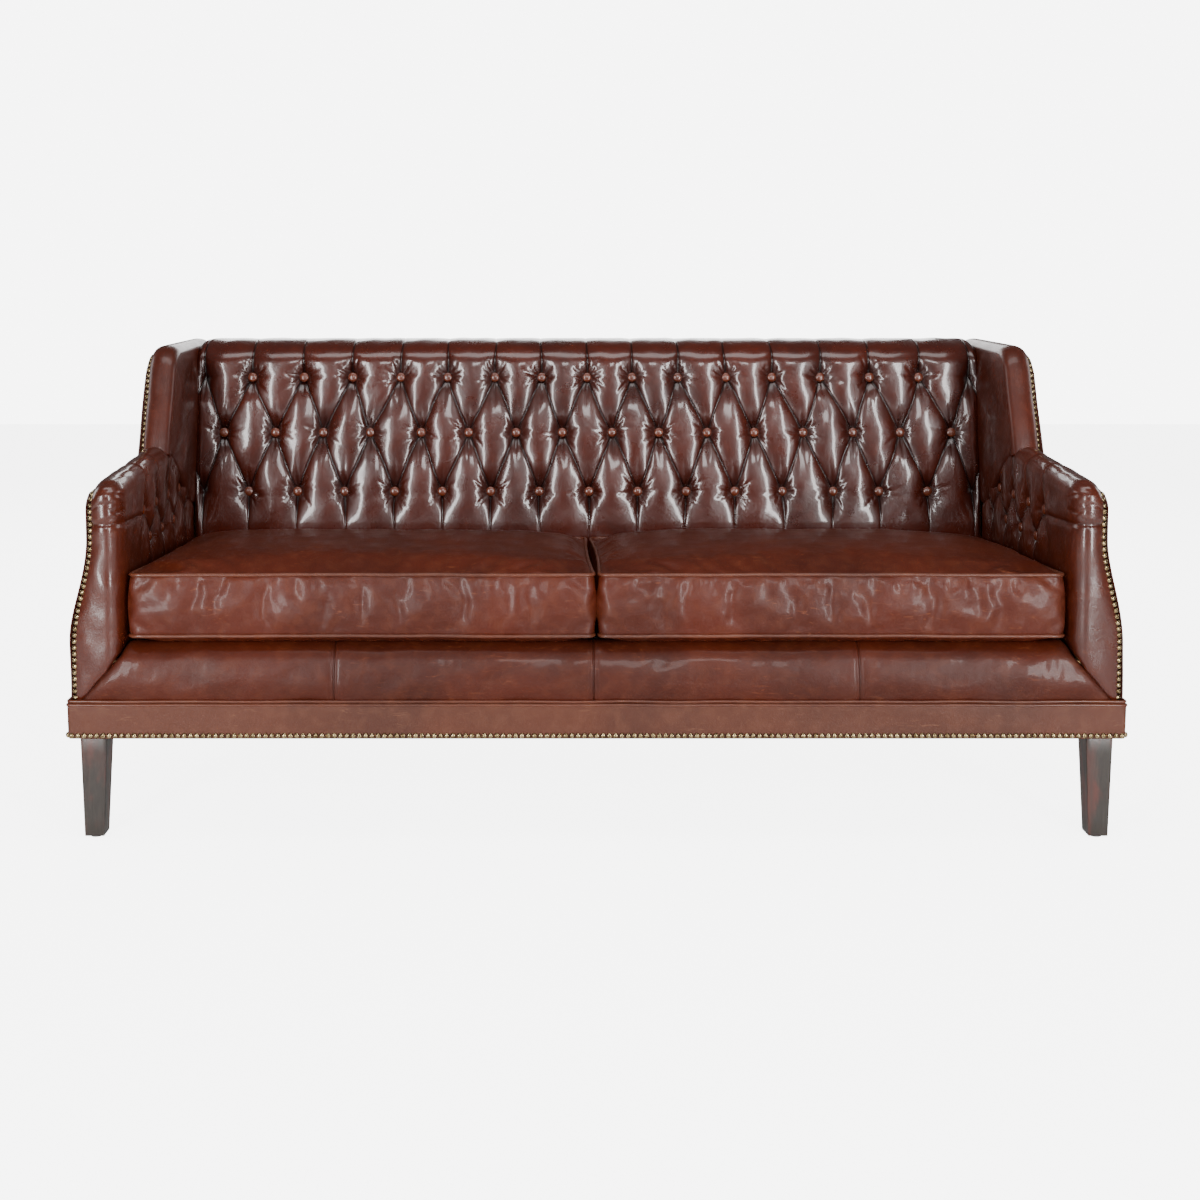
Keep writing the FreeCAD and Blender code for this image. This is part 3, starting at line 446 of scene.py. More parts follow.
def plated_steel(name, light, dark, roughness):
    """Steel plated with zinc or nickel: grey, a little uneven in tone."""
    material, tree = new_material(name)
    place = object_place(tree)
    uneven = add_node(tree, "TexNoise", {"Vector": place, "Scale": per_metre(16.7), "Detail": 4.0})
    pits = add_node(tree, "TexNoise", {"Vector": place, "Scale": per_metre(1.43), "Detail": 3.0})
    relief = add_node(tree, "Bump", {"Height": pits, "Distance": 0.03 * MM})
    colour = stain_or_shade(tree, linear(light), uneven, 1.0, dark)
    surface(tree, Base_Color=colour, Metallic=1.0, Roughness=roughness, Normal=relief)
    return material


def woven(name, light, dark, thread_spacing, roughness=0.9):
    """Woven or felted cloth: dull, with crossing threads, drawn a few times too coarse so that they show."""
    material, tree = new_material(name)
    place = object_place(tree)
    # A wave texture turns through twenty radians a metre at a scale of one
    pace = 2.0 * math.pi * per_metre(thread_spacing) / 20.0
    across, along = [add_node(tree, "TexWave", {"Vector": place, "Scale": pace, "Distortion": 0.6}, "Fac",
                              bands_direction=way) for way in ("X", "Y")]
    weave = add_node(tree, "Math", {0: across, 1: along}, operation="MULTIPLY")
    tone = add_node(tree, "TexNoise", {"Vector": place, "Scale": per_metre(40.0), "Detail": 5.0})
    relief = add_node(tree, "Bump", {"Height": weave, "Distance": 0.3 * MM})
    colour = stain_or_shade(tree, linear(light), tone, 1.0, dark)
    surface(tree, Base_Color=colour, Roughness=roughness, Normal=relief)
    return material


def cellular_foam():
    """Cut upholstery foam: pale yellow and dull, with small open cells."""
    material, tree = new_material("cushion_foam")
    cells = add_node(tree, "TexVoronoi", {"Vector": object_place(tree), "Scale": per_metre(1.43)})
    relief = add_node(tree, "Bump", {"Height": cells, "Distance": 0.4 * MM})
    surface(tree, Base_Color=stain_or_shade(tree, linear("#e6dab6"), cells, 1.0, "#cdbd90"), Roughness=0.95,
            Normal=relief)
    return material


# The leathers: base, deep and rubbed colours, then how each is worn and finished; the deep colour also serves
# as the painted shade in dents and pleats
tufted_leather = aged_leather("tufted_leather", "#481608", "#100302", "#662815", scuffs=0.20,
                              roughness=0.26, creases=0.5, coat=0.55, specular=0.42, folds=5.5)
arm_leather = aged_leather("arm_leather", "#4a1a0c", "#140503", "#6a331d", scuffs=0.25,
                           roughness=0.27, creases=0.6, coat=0.5, specular=0.4, folds=3.2)
plain_leather = aged_leather("plain_leather", "#4b1a0b", "#1c0805", "#6a301c", scuffs=0.25,
                             roughness=0.38, creases=0.5, coat=0.2, specular=0.35)
cushion_leather = aged_leather("cushion_leather", "#4f1b0a", "#280c06", "#784228", scuffs=0.50,
                               roughness=0.42, creases=0.7, coat=0.06, specular=0.28)
border_leather = aged_leather("border_leather", "#491909", "#1b0704", "#6e3920", scuffs=0.40,
                              roughness=0.42, creases=0.6, coat=0.08, specular=0.25)
band_leather = aged_leather("band_leather", "#562c1c", "#31160d", "#7b4f3a", scuffs=0.45,
                            roughness=0.46, creases=0.4, coat=0.05, specular=0.35)
welt_leather = aged_leather("welt_leather", "#5a2a17", "#220b05", "#834e33", scuffs=0.40,
                            roughness=0.38, creases=0.2, coat=0.15, specular=0.4)
button_leather = aged_leather("button_leather", "#5e2814", "#1c0904", "#8a4b32", scuffs=0.40,
                              roughness=0.26, creases=0.2, coat=0.4)
leg_wood = rubbed_wood()
nail_brass = antique_brass()
frame_wood = sawn_wood()
spring_steel = plated_steel("spring_steel", "#9a9c9e", "#5f6163", 0.35)
fixing_steel = plated_steel("fixing_steel", "#8d8f92", "#66686a", 0.4)
glide_nickel = plated_steel("glide_nickel", "#b4b6b8", "#86888a", 0.25)
lining_board = woven("lining_board", "#b0906a", "#8f7250", 7.0, 0.85)
decking_cloth = woven("decking_cloth", "#3c2a24", "#2a1c18", 4.5)
jute_webbing = woven("jute_webbing", "#b99c6c", "#8e744a", 9.0)
dust_cloth = woven("dust_cloth", "#262628", "#1b1b1c", 3.5)
cushion_foam = cellular_foam()


def finish_hidden_solids():
    """Each solid that stays as it is gets the finish of what it is made of."""
    finishes = {"frame_hardwood": frame_wood, "lining_board": lining_board, "steel_spring": spring_steel,
                "steel_fixing": fixing_steel, "steel_glide": glide_nickel, "decking_felt": decking_cloth,
                "jute_webbing": jute_webbing, "dust_cloth": dust_cloth, "cushion_foam": cushion_foam,
                "leather_worn": border_leather, "leather_dark": plain_leather, "leather_band": band_leather,
                "leather_welt": welt_leather, "leather_button": button_leather, "dark_stained_wood": leg_wood}
    for part in frame["record"]["subparts"]:
        solid = frame["nodes"][part["node"]]
        solid.data.materials.clear()
        solid.data.materials.append(finishes[part["material_slot"]])


# Buttoning, in half pitches across and in rows up, with a button where both are even or both odd
BUTTON_FUNNEL = 1.7
DIAMOND_FULLNESS = 0.55
UPRIGHT_SHARE = 0.85
UPRIGHT_FUNNEL = 2.6


def tuft_depth(column, row, last_row, button_deep, pleat_deep, reach):
    """How far the leather is drawn in; pleats leave the outer rows straight up and down."""
    rising = np.abs(np.sin(math.pi * (column + row) / 2.0))
    falling = np.abs(np.sin(math.pi * (column - row) / 2.0))
    high = np.maximum(rising, falling)
    crease = pleat_deep + (button_deep - pleat_deep) * (1.0 - high) ** BUTTON_FUNNEL
    inside = crease * (1.0 - (rising * falling) ** DIAMOND_FULLNESS)
    beyond = np.where(row > last_row, row - last_row, -row)
    shift = np.where(row > last_row, float(last_row), 0.0)
    across = np.abs(np.sin(math.pi * (column + shift) / 2.0))
    near = np.clip(1.0 - beyond * 1.25, 0.0, 1.0)
    far = np.clip(1.0 - beyond / reach, 0.0, 1.0)
    upright_deep = pleat_deep * UPRIGHT_SHARE
    straight = upright_deep * far + (button_deep - upright_deep) * near ** UPRIGHT_FUNNEL
    width = 0.30 + 0.25 * near
    outside = straight * np.clip(1.0 - across ** width * (0.9 + 0.1 * across), 0.0, 1.0)
    return np.where((row < 0.0) | (row > last_row), outside, inside)


def pleat_distance(column, row, last_row, half_pitch, row_height):
    """Millimetres from each point to its nearest pleat."""
    per_step = 1.0 / math.hypot(1.0 / half_pitch, 1.0 / row_height)
    rising, falling = (column + row) / 2.0, (column - row) / 2.0
    rising_off, falling_off = np.abs(rising - np.rint(rising)), np.abs(falling - np.rint(falling))
    slanted = 2.0 * per_step * np.minimum(rising_off, falling_off)
    upright = (column + np.where(row > last_row, float(last_row), 0.0)) / 2.0
    straight = 2.0 * half_pitch * np.abs(upright - np.rint(upright))
    return np.where((row < 0.0) | (row > last_row), straight, slanted)


def mark_pulls(piece, x, w, places):
    """Write where each point lies from its nearest button, for the folds in the finish."""
    off = np.stack([np.hypot(x - px, w - pw) for px, pw in places])
    nearest = np.argmin(off, axis=0)
    places = np.array(places)
    reach = off[nearest, np.arange(len(x))]
    pull = np.column_stack([x - places[nearest, 0], w - places[nearest, 1], np.zeros(len(x))])
    layer = piece.data.attributes.new("pull", "FLOAT_VECTOR", "POINT")
    layer.data.foreach_set("vector", np.ascontiguousarray(pull, dtype=np.float32).ravel())
    set_point_value(piece, "button", nearest * 7.3 + reach * 0.03)
    begins, ends = smooth_step(reach, 4.0, 10.0), smooth_step(reach, 13.0, 44.0)
    set_point_value(piece, "pull_near", begins * (1.0 - ends))


def pull_lines(x, w, places, seed, count, longest, deepest):
    """Fine tension folds that radiate from the buttons."""
    draw = np.random.RandomState(seed)
    total = np.zeros_like(x)
    for px, pw in places:
        near = np.nonzero((np.abs(x - px) < longest) & (np.abs(w - pw) < longest))[0]
        dx, dw = x[near] - px, w[near] - pw
        for n in range(count):
            turn = 2.0 * math.pi * (n + draw.uniform(-0.4, 0.4)) / count
            length = longest * draw.uniform(0.45, 1.0)
            deep = deepest * draw.uniform(0.35, 1.0)
            along = dx * math.cos(turn) + dw * math.sin(turn)
            curl = draw.uniform(-0.004, 0.004)
            off = dw * math.cos(turn) - dx * math.sin(turn) - curl * along * along
            width = 1.6 + 0.05 * np.abs(along)
            fade = smooth_step(along, 5.0, 14.0) * (1.0 - smooth_step(along, 0.45 * length, length))
            total[near] += deep * fade * np.exp(-(off / width) ** 2)
    return total


def split_along_pleats(piece, column_of, row_of, line_of):
    """Cut each four-sided face along the diagonal that runs with its nearest pleat."""
    mesh = bmesh.new()
    mesh.from_mesh(piece.data)
    mesh.verts.ensure_lookup_table()
    for face in [f for f in mesh.faces if len(f.verts) == 4]:
        corners = [v.index for v in face.verts]
        column = sum(column_of[c] for c in corners) / 4.0
        row = sum(row_of[c] for c in corners) / 4.0
        rising = abs(math.sin(math.pi * (column + row) / 2.0))
        falling = abs(math.sin(math.pi * (column - row) / 2.0))
        first, second, third, fourth = face.verts
        over = column_of[third.index] - column_of[first.index]
        leans_right = over * (line_of[third.index] - line_of[first.index]) > 0
        pair = (first, third) if leans_right == (falling < rising) else (second, fourth)
        bmesh.utils.face_split(face, pair[0], pair[1])
    mesh.to_mesh(piece.data)
    mesh.free()


# Inside back: one deep-buttoned skin from behind the cushions over the top
BACK_STEPS = 28
BACK_BUTTON_ROWS = ((0, 15), (1, 16), (2, 15))
TUCKED_UNDER = ((672.0, -1.9), (640.0, -1.85))
UPRIGHT_RUN = 128.0
PLEAT_ROW_HEIGHT = 127.0
TOP_SPRING = OUTSIDE_BACK_TOP - 28.0
TOP_STEPS = 24
TOP_TURN = 172.0
TOP_RUN = 1.7


def back_face(height):
    return BACK_FACE + BACK_RECLINE * max(0.0, height - BACK_BREAK)


def back_sections():
    """Depth, height and button row of each line of the skin, from the seat over the top."""
    foot = deck_level(BACK_FACE)
    lines = [(depth, deck_level(depth), row) for depth, row in TUCKED_UNDER]
    for low, high, steps in ((foot, BACK_BREAK, 5), (BACK_BREAK, LOW_ROW, 10)):
        for n in range(steps):
            height = low + (high - low) * n / steps
            lines.append((back_face(height), height, (height - LOW_ROW) / UPRIGHT_RUN))
    for low, high, row in ((LOW_ROW, MIDDLE_ROW, 0), (MIDDLE_ROW, TOP_ROW, 1)):
        for n in range(BACK_STEPS):
            height = low + (high - low) * n / BACK_STEPS
            lines.append((back_face(height), height, row + n / BACK_STEPS))
    for n in range(5):
        height = TOP_ROW + (TOP_SPRING - TOP_ROW) * n / 5.0
        lines.append((back_face(height), height, 2.0 + (height - TOP_ROW) / UPRIGHT_RUN))
    near, far = back_face(TOP_SPRING), OVERALL_DEPTH - 1.0
    start = 2.0 + (TOP_SPRING - TOP_ROW) / UPRIGHT_RUN
    for n in range(TOP_STEPS):
        turn = math.radians(TOP_TURN) * n / (TOP_STEPS - 1)
        depth = (near + far) / 2.0 - (far - near) / 2.0 * math.cos(turn)
        height = TOP_SPRING + (BACK_TOP - 1.0 - TOP_SPRING) * math.sin(turn) ** 0.9
        lines.append((depth, height, start + TOP_RUN * n / (TOP_STEPS - 1)))
    return np.array(lines)


def back_drift(column, row):
    """The buttons wander a few millimetres from an even lattice, as sewn by hand."""
    along = column / 15.0
    low = 2.0 + 9.0 * np.sin(math.pi * along / 2.0)
    middle = 11.0 * along ** 3
    top = -2.0 - 12.0 * np.sin(math.pi * along)
    upper_share, lower_share = np.clip(row - 1.0, 0.0, 1.0), np.clip(1.0 - row, 0.0, 1.0)
    even = middle + (top - middle) * upper_share + (low - middle) * lower_share
    loose = 2.2 * rumple(column * 54.5, row * 125.0, 210.0, 11)
    return (even + loose) * np.clip((1.12 - np.abs(along)) * 8.0, 0.0, 1.0)


def back_button_places():
    """Lattice column and row of every button of the inside back."""
    places = []
    for row, count in BACK_BUTTON_ROWS:
        for n in range(count):
            places.append((2.0 * n - (count - 1), row))
    return places


def tufted_back():
    """The skin is laid out flat, drawn in at buttons and pleats, and closed behind."""
    lines = back_sections()
    edge = (ARM_INNER - 0.4) / (BUTTON_PITCH / 2.0)
    inside = int(edge * BACK_STEPS)
    columns = np.concatenate([[-edge], np.arange(-inside, inside + 1) / BACK_STEPS, [edge]])
    piece, column, row = leather_sheet("tufted_back", len(columns) - 1, len(lines) - 1)
    c = columns[column]
    r = lines[row, 2]
    inward = -across_path(unit(np.gradient(lines[:, :2], axis=0)))
    x = c * BUTTON_PITCH / 2.0 + back_drift(c, r) * (np.abs(c) < edge - 0.2)
    arc_length = np.concatenate([[0.0], np.cumsum(np.linalg.norm(np.diff(lines[:, :2], axis=0), axis=1))])
    w = arc_length[row]
    sink = tuft_depth(c, r, 2, BUTTON_SINK, PLEAT_SINK, 2.1)
    sink *= 1.0 + 0.10 * rumple(x, w, 90.0, 5)
    over = smooth_step(r, 2.5, 3.6)
    sink *= 1.0 - 0.75 * over
    crease = 13.0 * np.exp(-(ARM_INNER - np.abs(x)) / 9.0)
    sink = np.maximum(sink, crease) + 0.25 * np.minimum(sink, crease)
    row_arc = np.interp([0.0, 1.0, 2.0], lines[:, 2], arc_length)
    places = [(bc * BUTTON_PITCH / 2.0 + float(back_drift(np.array(bc), np.array(br))), row_arc[br])
              for bc, br in back_button_places()]
    folds = pull_lines(x, w, places, 21, 12, 60.0, 2.4)
    sink = sink + folds + 0.5 * rumple(x, w, 60.0, 8)
    ends = (row <= 1) | (row >= len(lines) - 1)
    sink = np.where(ends, 0.0, sink)
    depth = lines[row, 0] + inward[row, 0] * sink
    height = lines[row, 1] + inward[row, 1] * sink
    lay(piece, x, depth, height)
    # Painted shade: the leather is darkened where buttons and pleats draw it in
    set_point_value(piece, "dent_shade", np.clip(sink / BUTTON_SINK * 1.5 - 0.12, 0.0, 1.0) ** 0.8)
    # Distance to the pleats, for their painted shade and their bump; none beyond the top and bottom rows
    off = pleat_distance(c, r, 2, BUTTON_PITCH / 2.0, PLEAT_ROW_HEIGHT)
    set_point_value(piece, "pleat_off", off + 3.0 * over + 3.0 * smooth_step(-r, 0.3, 0.9))
    mark_pulls(piece, x, w, places)
    close_back(piece, column, row)
    split_along_pleats(piece, c, np.where(ends, -1.9, r), row)
    faces_outward(piece)
    round_shading(piece)
    dress(piece, tufted_leather, "leather_dark", "frame", "back_pad")
    return piece


def close_back(piece, column, row):
    """Close the skin at both ends and along its hidden rear side."""
    mesh = bmesh.new()
    mesh.from_mesh(piece.data)
    mesh.verts.ensure_lookup_table()
    last_column, last_row = column.max(), row.max()

    def run(chosen, order):
        found = np.nonzero(chosen)[0]
        return [mesh.verts[i] for i in found[np.argsort(order[found])]]

    mesh.faces.new(run(column == 0, row))
    mesh.faces.new(run(column == last_column, row))
    mesh.faces.new(run(row == 0, column) + run(row == last_row, column)[::-1])
    mesh.to_mesh(piece.data)
    mesh.free()


# Covered buttons
def button_form(name, diameter, thickness):
    """A leather-covered button: a flattened dome whose rim turns under."""
    deselect_all()
    bpy.ops.mesh.primitive_uv_sphere_add(segments=20, ring_count=10, radius=1.0)
    piece = bpy.context.active_object
    piece.name = name
    points = points_of(piece)
    radius = np.hypot(points[:, 0], points[:, 1])
    swell = np.sign(points[:, 2]) * np.abs(points[:, 2]) ** 0.8
    points[:, 2] = swell * thickness / 2.0
    points[:, :2] *= (diameter / 2.0 * (1.0 + 0.05 * radius))[:, None]
    set_points(piece, points)
    return piece


def copies_at(name, pattern, places, facings):
    """Copies of one small pattern piece, each turned to its facing, in one mesh."""
    base = points_of(pattern)
    faces = [tuple(f.vertices) for f in pattern.data.polygons]
    count = len(base)
    points, rings = [], []
    for n, (place, facing) in enumerate(zip(places, facings)):
        facing = np.array(facing, dtype=float) / np.linalg.norm(facing)
        side = np.cross(facing, (0.0, 0.0, 1.0) if abs(facing[2]) < 0.9 else (0.0, 1.0, 0.0))
        side /= np.linalg.norm(side)
        up = np.cross(facing, side)
        points.append(np.array(place) + base[:, :1] * side + base[:, 1:2] * up + base[:, 2:3] * facing)
        rings += [tuple(i + n * count for i in face) for face in faces]
    mesh = bpy.data.meshes.new(name)
    mesh.from_pydata((np.concatenate(points) * MM).tolist(), [], rings)
    made = bpy.data.objects.new(name, mesh)
    bpy.context.scene.collection.objects.link(made)
    faces_outward(made)
    round_shading(made)
    return made


def back_buttons():
    lean = math.atan(BACK_RECLINE)
    facing = (0.0, -math.cos(lean), math.sin(lean))
    places = []
    for column, row in back_button_places():
        height = (LOW_ROW, MIDDLE_ROW, TOP_ROW)[row]
        depth = back_face(height)
        x = column * BUTTON_PITCH / 2.0 + float(back_drift(np.array(column), np.array(row)))
        out = BUTTON_SINK - 8.5
        places.append((x, at(depth) - facing[1] * out, height - facing[2] * out))
    pattern = button_form("button_pattern", 20.5, 10.0)
    piece = copies_at("back_button_caps", pattern, places, [facing] * len(places))
    bpy.data.objects.remove(pattern)
    dress(piece, button_leather, "leather_button", "frame", "back_buttons")
    return piece


# Arms: the front facing, the rounded corner, the tufted inside and the rolled top in one skin
ARM_BUTTON_SINK = 18.0
ARM_PLEAT_SINK = 9.0
ARM_UPRIGHT_RUN = 95.0
FACING_SEAM = 603.0
ROLL_STEPS = 16
TOP_ROWS = 12
UNDER_WING = 14.0
WING_SEAM_DROP, WING_SEAM_RUN, WING_SEAM_LENGTH = 105.0, 127.0, 165.0
MITRE_TOP = 383.0
ARM_SEED = {"left": 31, "right": 47}

# Small creases of the arm's front: height, depth, middle and half length round the arm, and slant
FRONT_WRINKLES = ((611.0, 1.5, 30.0, 20.0, 0.20), (627.0, 1.9, 66.0, 26.0, -0.10),
                  (641.0, 1.6, 32.0, 22.0, 0.14), (655.0, 1.9, 74.0, 28.0, -0.16),
                  (668.0, 1.4, 42.0, 24.0, 0.10), (684.0, 1.8, 60.0, 34.0, 0.05))


def arm_columns():
    """Each column as its place over the front, the turn of the corner or the depth along the arm."""
    columns = [("front", turn) for turn in np.linspace(90.0, 0.0, 19)]
    columns += [("corner", turn) for turn in np.linspace(0.0, 90.0, 19)[1:]]
    step = ARM_BUTTON_PITCH / 32.0
    first = ARM_BUTTON_START - step * int((ARM_BUTTON_START - 52.0) / step)
    columns += [("inside", depth) for depth in np.arange(first, 604.0, step)]
    return columns


def arm_rows(depth):
    """Heights up to where the roll springs, then the turn over the roll."""
    low = ARM_BUTTON_HEIGHT - ARM_ROW_DROP
    spring = arm_crown(depth) - ARM_ROLL
    rows = list(np.linspace(BAND_TOP, 385.0, 31)[:-1]) + list(np.linspace(385.0, low, 18)[:-1])
    rows += list(np.linspace(low, ARM_BUTTON_HEIGHT, 17)[:-1])
    rows += list(np.linspace(ARM_BUTTON_HEIGHT, spring, 18))
    return rows


def arm_point(column, row_number, upright_rows):
    """Place, outward direction and unrolled height of one point of the arm's skin."""
    kind, value = column
    depth = value if kind == "inside" else ARM_FRONT_CORE
    rows = arm_rows(depth)
    lift = 0.0
    if row_number < upright_rows:
        height = rows[row_number]
    else:
        height = rows[-1]
        lift = math.radians(90.0) * (row_number - upright_rows + 1) / ROLL_STEPS
    if kind == "front":
        turn = math.radians(value)
        edge = float(flare_x(height, ARM_NAIL_EDGE))
        x = CROWN_X + (edge - CROWN_X) * math.sin(turn)
        drop = EDGE_DROP * (1.0 - math.cos(turn)) * smooth_height(row_number, upright_rows)
        recess = (ARM_FRONT_EDGE - ARM_FRONT_APEX) * (1.0 - math.cos(turn))
        core = np.array([x, ARM_FRONT_CORE + recess, height - drop])
        level = np.array([0.0, -1.0, 0.0])
    elif kind == "corner":
        turn = math.radians(value)
        core = np.array([CROWN_X, ARM_FRONT_CORE, height])
        level = np.array([-math.sin(turn), -math.cos(turn), 0.0])
    else:
        core = np.array([CROWN_X, value, height])
        level = np.array([-1.0, 0.0, 0.0])
    outward = level * math.cos(lift) + np.array([0.0, 0.0, 1.0]) * math.sin(lift)
    reach = np.array([ARM_ROLL, ARM_FRONT_CORE - ARM_FRONT_APEX, ARM_ROLL])
    return core + reach * outward, outward, height + ARM_ROLL * lift


def smooth_height(row_number, upright_rows):
    """How much of the drop towards the nail edge a row takes: none at the foot, all at the top."""
    return float(smooth_step(np.array(row_number / upright_rows), 0.75, 1.0))


def arm_button_spots():
    """Depth and height of the arm's buttons: four above, and three lower between them."""
    depths = [ARM_BUTTON_START + n * ARM_BUTTON_PITCH for n in range(ARM_BUTTON_COUNT)]
    upper = [(depth, ARM_BUTTON_HEIGHT) for depth in depths]
    lower = [(depth + ARM_BUTTON_PITCH / 2.0, ARM_BUTTON_HEIGHT - ARM_ROW_DROP) for depth in depths[:-1]]
    return upper + lower


def arm_dents(piece, x, depth, unrolled, seed):
    """How far the arm's leather is drawn in at each point; its folds are marked for the finish."""
    column = (depth - ARM_BUTTON_START) / (ARM_BUTTON_PITCH / 2.0) + 1.0
    low_row = ARM_BUTTON_HEIGHT - ARM_ROW_DROP
    row = np.where(unrolled < ARM_BUTTON_HEIGHT, (unrolled - low_row) / ARM_ROW_DROP,
                   1.0 + (unrolled - ARM_BUTTON_HEIGHT) / ARM_UPRIGHT_RUN)
    buttoned = smooth_step(depth, ARM_BUTTON_START - 62.0, ARM_BUTTON_START - 6.0)
    sink = tuft_depth(column, row, 1, ARM_BUTTON_SINK, ARM_PLEAT_SINK, 2.3) * buttoned
    spots = arm_button_spots()
    sink += pull_lines(depth, unrolled, spots, seed, 11, 48.0, 2.2) * smooth_step(depth, 90.0, 150.0)
    off = pleat_distance(column, row, 1, ARM_BUTTON_PITCH / 2.0, ARM_ROW_DROP)
    # Distance to the pleats, for their painted shade and their bump
    set_point_value(piece, "pleat_off", off + 4.0 * (1.0 - buttoned) + 3.0 * smooth_step(row, 1.5, 2.0))
    mark_pulls(piece, depth, unrolled, spots)
    run = ARM_NAIL_EDGE - x + depth
    off_seam = np.abs(unrolled - FACING_SEAM + 0.05 * depth)
    crease = 5.0 * np.exp(-off_seam / 3.2) * (1.0 - smooth_step(depth, 150.0, 205.0))
    for level, deep, middle, half, slant in FRONT_WRINKLES:
        line = level + slant * (run - middle) + 1.5 * np.sin(run / 11.0 + level)
        crease = crease + deep * np.exp(-((unrolled - line) / 3.0) ** 2 - ((run - middle) / half) ** 2)
    return sink + crease + 0.6 * rumple(depth + x, unrolled, 75.0, seed + 3)


def mitre_turn(points):
    """How far the arm's leather turns in along its slanted seam with the front border."""
    off = (points[:, 0] - mitre_x(points[:, 2])) * 0.8
    low = smooth_step(MITRE_TOP - points[:, 2], 0.0, 14.0) * (1.0 - smooth_step(points[:, 1], 60.0, 95.0))
    groove = 6.0 * np.exp(-np.maximum(off, 0.0) / 4.0)
    return (groove + 22.0 * (1.0 - smooth_step(off, -9.0, -1.0))) * low


def arm_skin(side):
    """The arm's leather, drawn in at its buttons, joined to the outer half of its rolled top."""
    columns = arm_columns()
    upright_rows = len(arm_rows(0.0))
    piece, column, row = leather_sheet(side + "_arm_leather", len(columns) - 1, upright_rows + ROLL_STEPS - 1)
    placed = {}
    points = np.empty((len(column), 3))
    outward = np.empty((len(column), 3))
    unrolled = np.empty(len(column))
    for i, (c, r) in enumerate(zip(column, row)):
        if (c, r) not in placed:
            placed[(c, r)] = arm_point(columns[c], r, upright_rows)
        points[i], outward[i], unrolled[i] = placed[(c, r)]
    sink = arm_dents(piece, points[:, 0], points[:, 1], unrolled, ARM_SEED[side]) + mitre_turn(points)
    top = arm_top(side, columns)
    draw_arm_in(piece, points, outward, sink, side)
    # Painted shade: the leather is darkened where it is drawn in
    set_point_value(piece, "dent_shade", np.clip(sink / ARM_BUTTON_SINK * 1.2 - 0.1, 0.0, 1.0))
    arm = join_pieces([piece, top], side + "_arm_leather")
    merge_points(arm, 0.8 * MM)
    faces_outward(arm)
    add_modifier(arm, "SOLIDIFY", thickness=LEATHER * MM, offset=-1.0)
    round_shading(arm)
    dress(arm, arm_leather, "leather_dark", "frame", side + "_arm_pad", side + "_arm_facing")
    return arm


def draw_arm_in(piece, points, outward, sink, side):
    """Lay the arm's leather as far in as its dents say, and further where it runs under the wing."""
    shaped = points - outward * (sink + UNDER_WING * hidden_behind_wing(points))[:, None]
    lay(piece, SIGN[side] * shaped[:, 0], shaped[:, 1], shaped[:, 2])


def hidden_behind_wing(points):
    """One where the arm runs on under the wing, behind their slanted seam."""
    seam_height = arm_crown(WING_START) - (points[:, 1] - WING_START) * WING_SEAM_DROP / WING_SEAM_RUN
    beyond = (points[:, 2] - seam_height) * WING_SEAM_RUN / WING_SEAM_LENGTH
    return smooth_step(beyond, 5.0, 18.0)


def arm_top(side, columns):
    """The outer half of the rolled top, from the crown down to the nailed edge."""
    depths = [ARM_FRONT_CORE] + [value for kind, value in columns if kind == "inside"]
    piece, column, row = leather_sheet(side + "_arm_top", len(depths) - 1, TOP_ROWS)
    depth = np.array(depths)[column]
    turn = np.radians(90.0) * row / TOP_ROWS
    recess = (ARM_FRONT_EDGE - ARM_FRONT_APEX) * (1.0 - np.cos(turn))
    depth = depth + recess * (1.0 - smooth_step(depth, 50.0, 130.0))
    reach = ARM_NAIL_EDGE - CROWN_X
    crown = arm_crown(depth)
    height = crown - EDGE_DROP * (1.0 - np.cos(turn))
    points = np.stack([CROWN_X + reach * np.sin(turn), depth, height], axis=1)
    outward = np.stack([np.sin(turn), np.zeros_like(turn), np.cos(turn)], axis=1)
    roll = ARM_ROLL * math.pi / 2.0
    unrolled = crown - ARM_ROLL + roll + reach * turn
    sink = arm_dents(piece, points[:, 0], depth, unrolled, ARM_SEED[side])
    sink *= 1.0 - smooth_step(row / TOP_ROWS, 0.6, 1.0)
    draw_arm_in(piece, points, outward, sink, side)
    # Painted shade: the leather is darkened where it is drawn in
    set_point_value(piece, "dent_shade", np.clip(sink / 15.0 * 1.2 - 0.1, 0.0, 1.0))
    return piece


def arm_button_caps(side):
    sign = SIGN[side]
    pattern = button_form("arm_button_pattern", 19.5, 9.5)
    x = sign * (ARM_INNER + 9.5)
    places = [(x, at(depth), height) for depth, height in arm_button_spots()]
    piece = copies_at(side + "_arm_button_caps", pattern, places, [(-sign, 0.0, 0.0)] * len(places))
    bpy.data.objects.remove(pattern)
    dress(piece, button_leather, "leather_button", "frame", side + "_arm_buttons")
    return piece


# Wings
def wing_path(count):
    """The wing's edge seen from the side, from the arm's crown up, over the shoulder and back."""
    foot = arm_crown(WING_START) - EDGE_DROP
    rise = WING_TOP - arm_crown(WING_START) + EDGE_DROP
    sweep = 110.0
    a = (WING_START, foot)
    b = (WING_START + sweep * 0.42, foot + rise * 0.58)
    c = (WING_START + sweep * 0.62, foot + rise * 0.87)
    d = (WING_START + sweep, WING_TOP)
    lower = arc_between(a, (WING_START + sweep * 0.16, foot + rise * 0.26), b, 24)
    upper = arc_between(c, (481.0, 881.0), d, 16)
    end = [(794.0, WING_TOP), (OVERALL_DEPTH - 1.0, OUTSIDE_BACK_TOP)]
    return even_steps(np.concatenate([lower, upper, np.array(end)]), count)


WING_STEPS = 150
WING_MEET = np.array([606.0, 537.0])
WING_SEAM = np.array([145.0, 210.0]) / 255.2
WING_TUCK = 11.0
WING_SEED = {"left": 61, "right": 63}


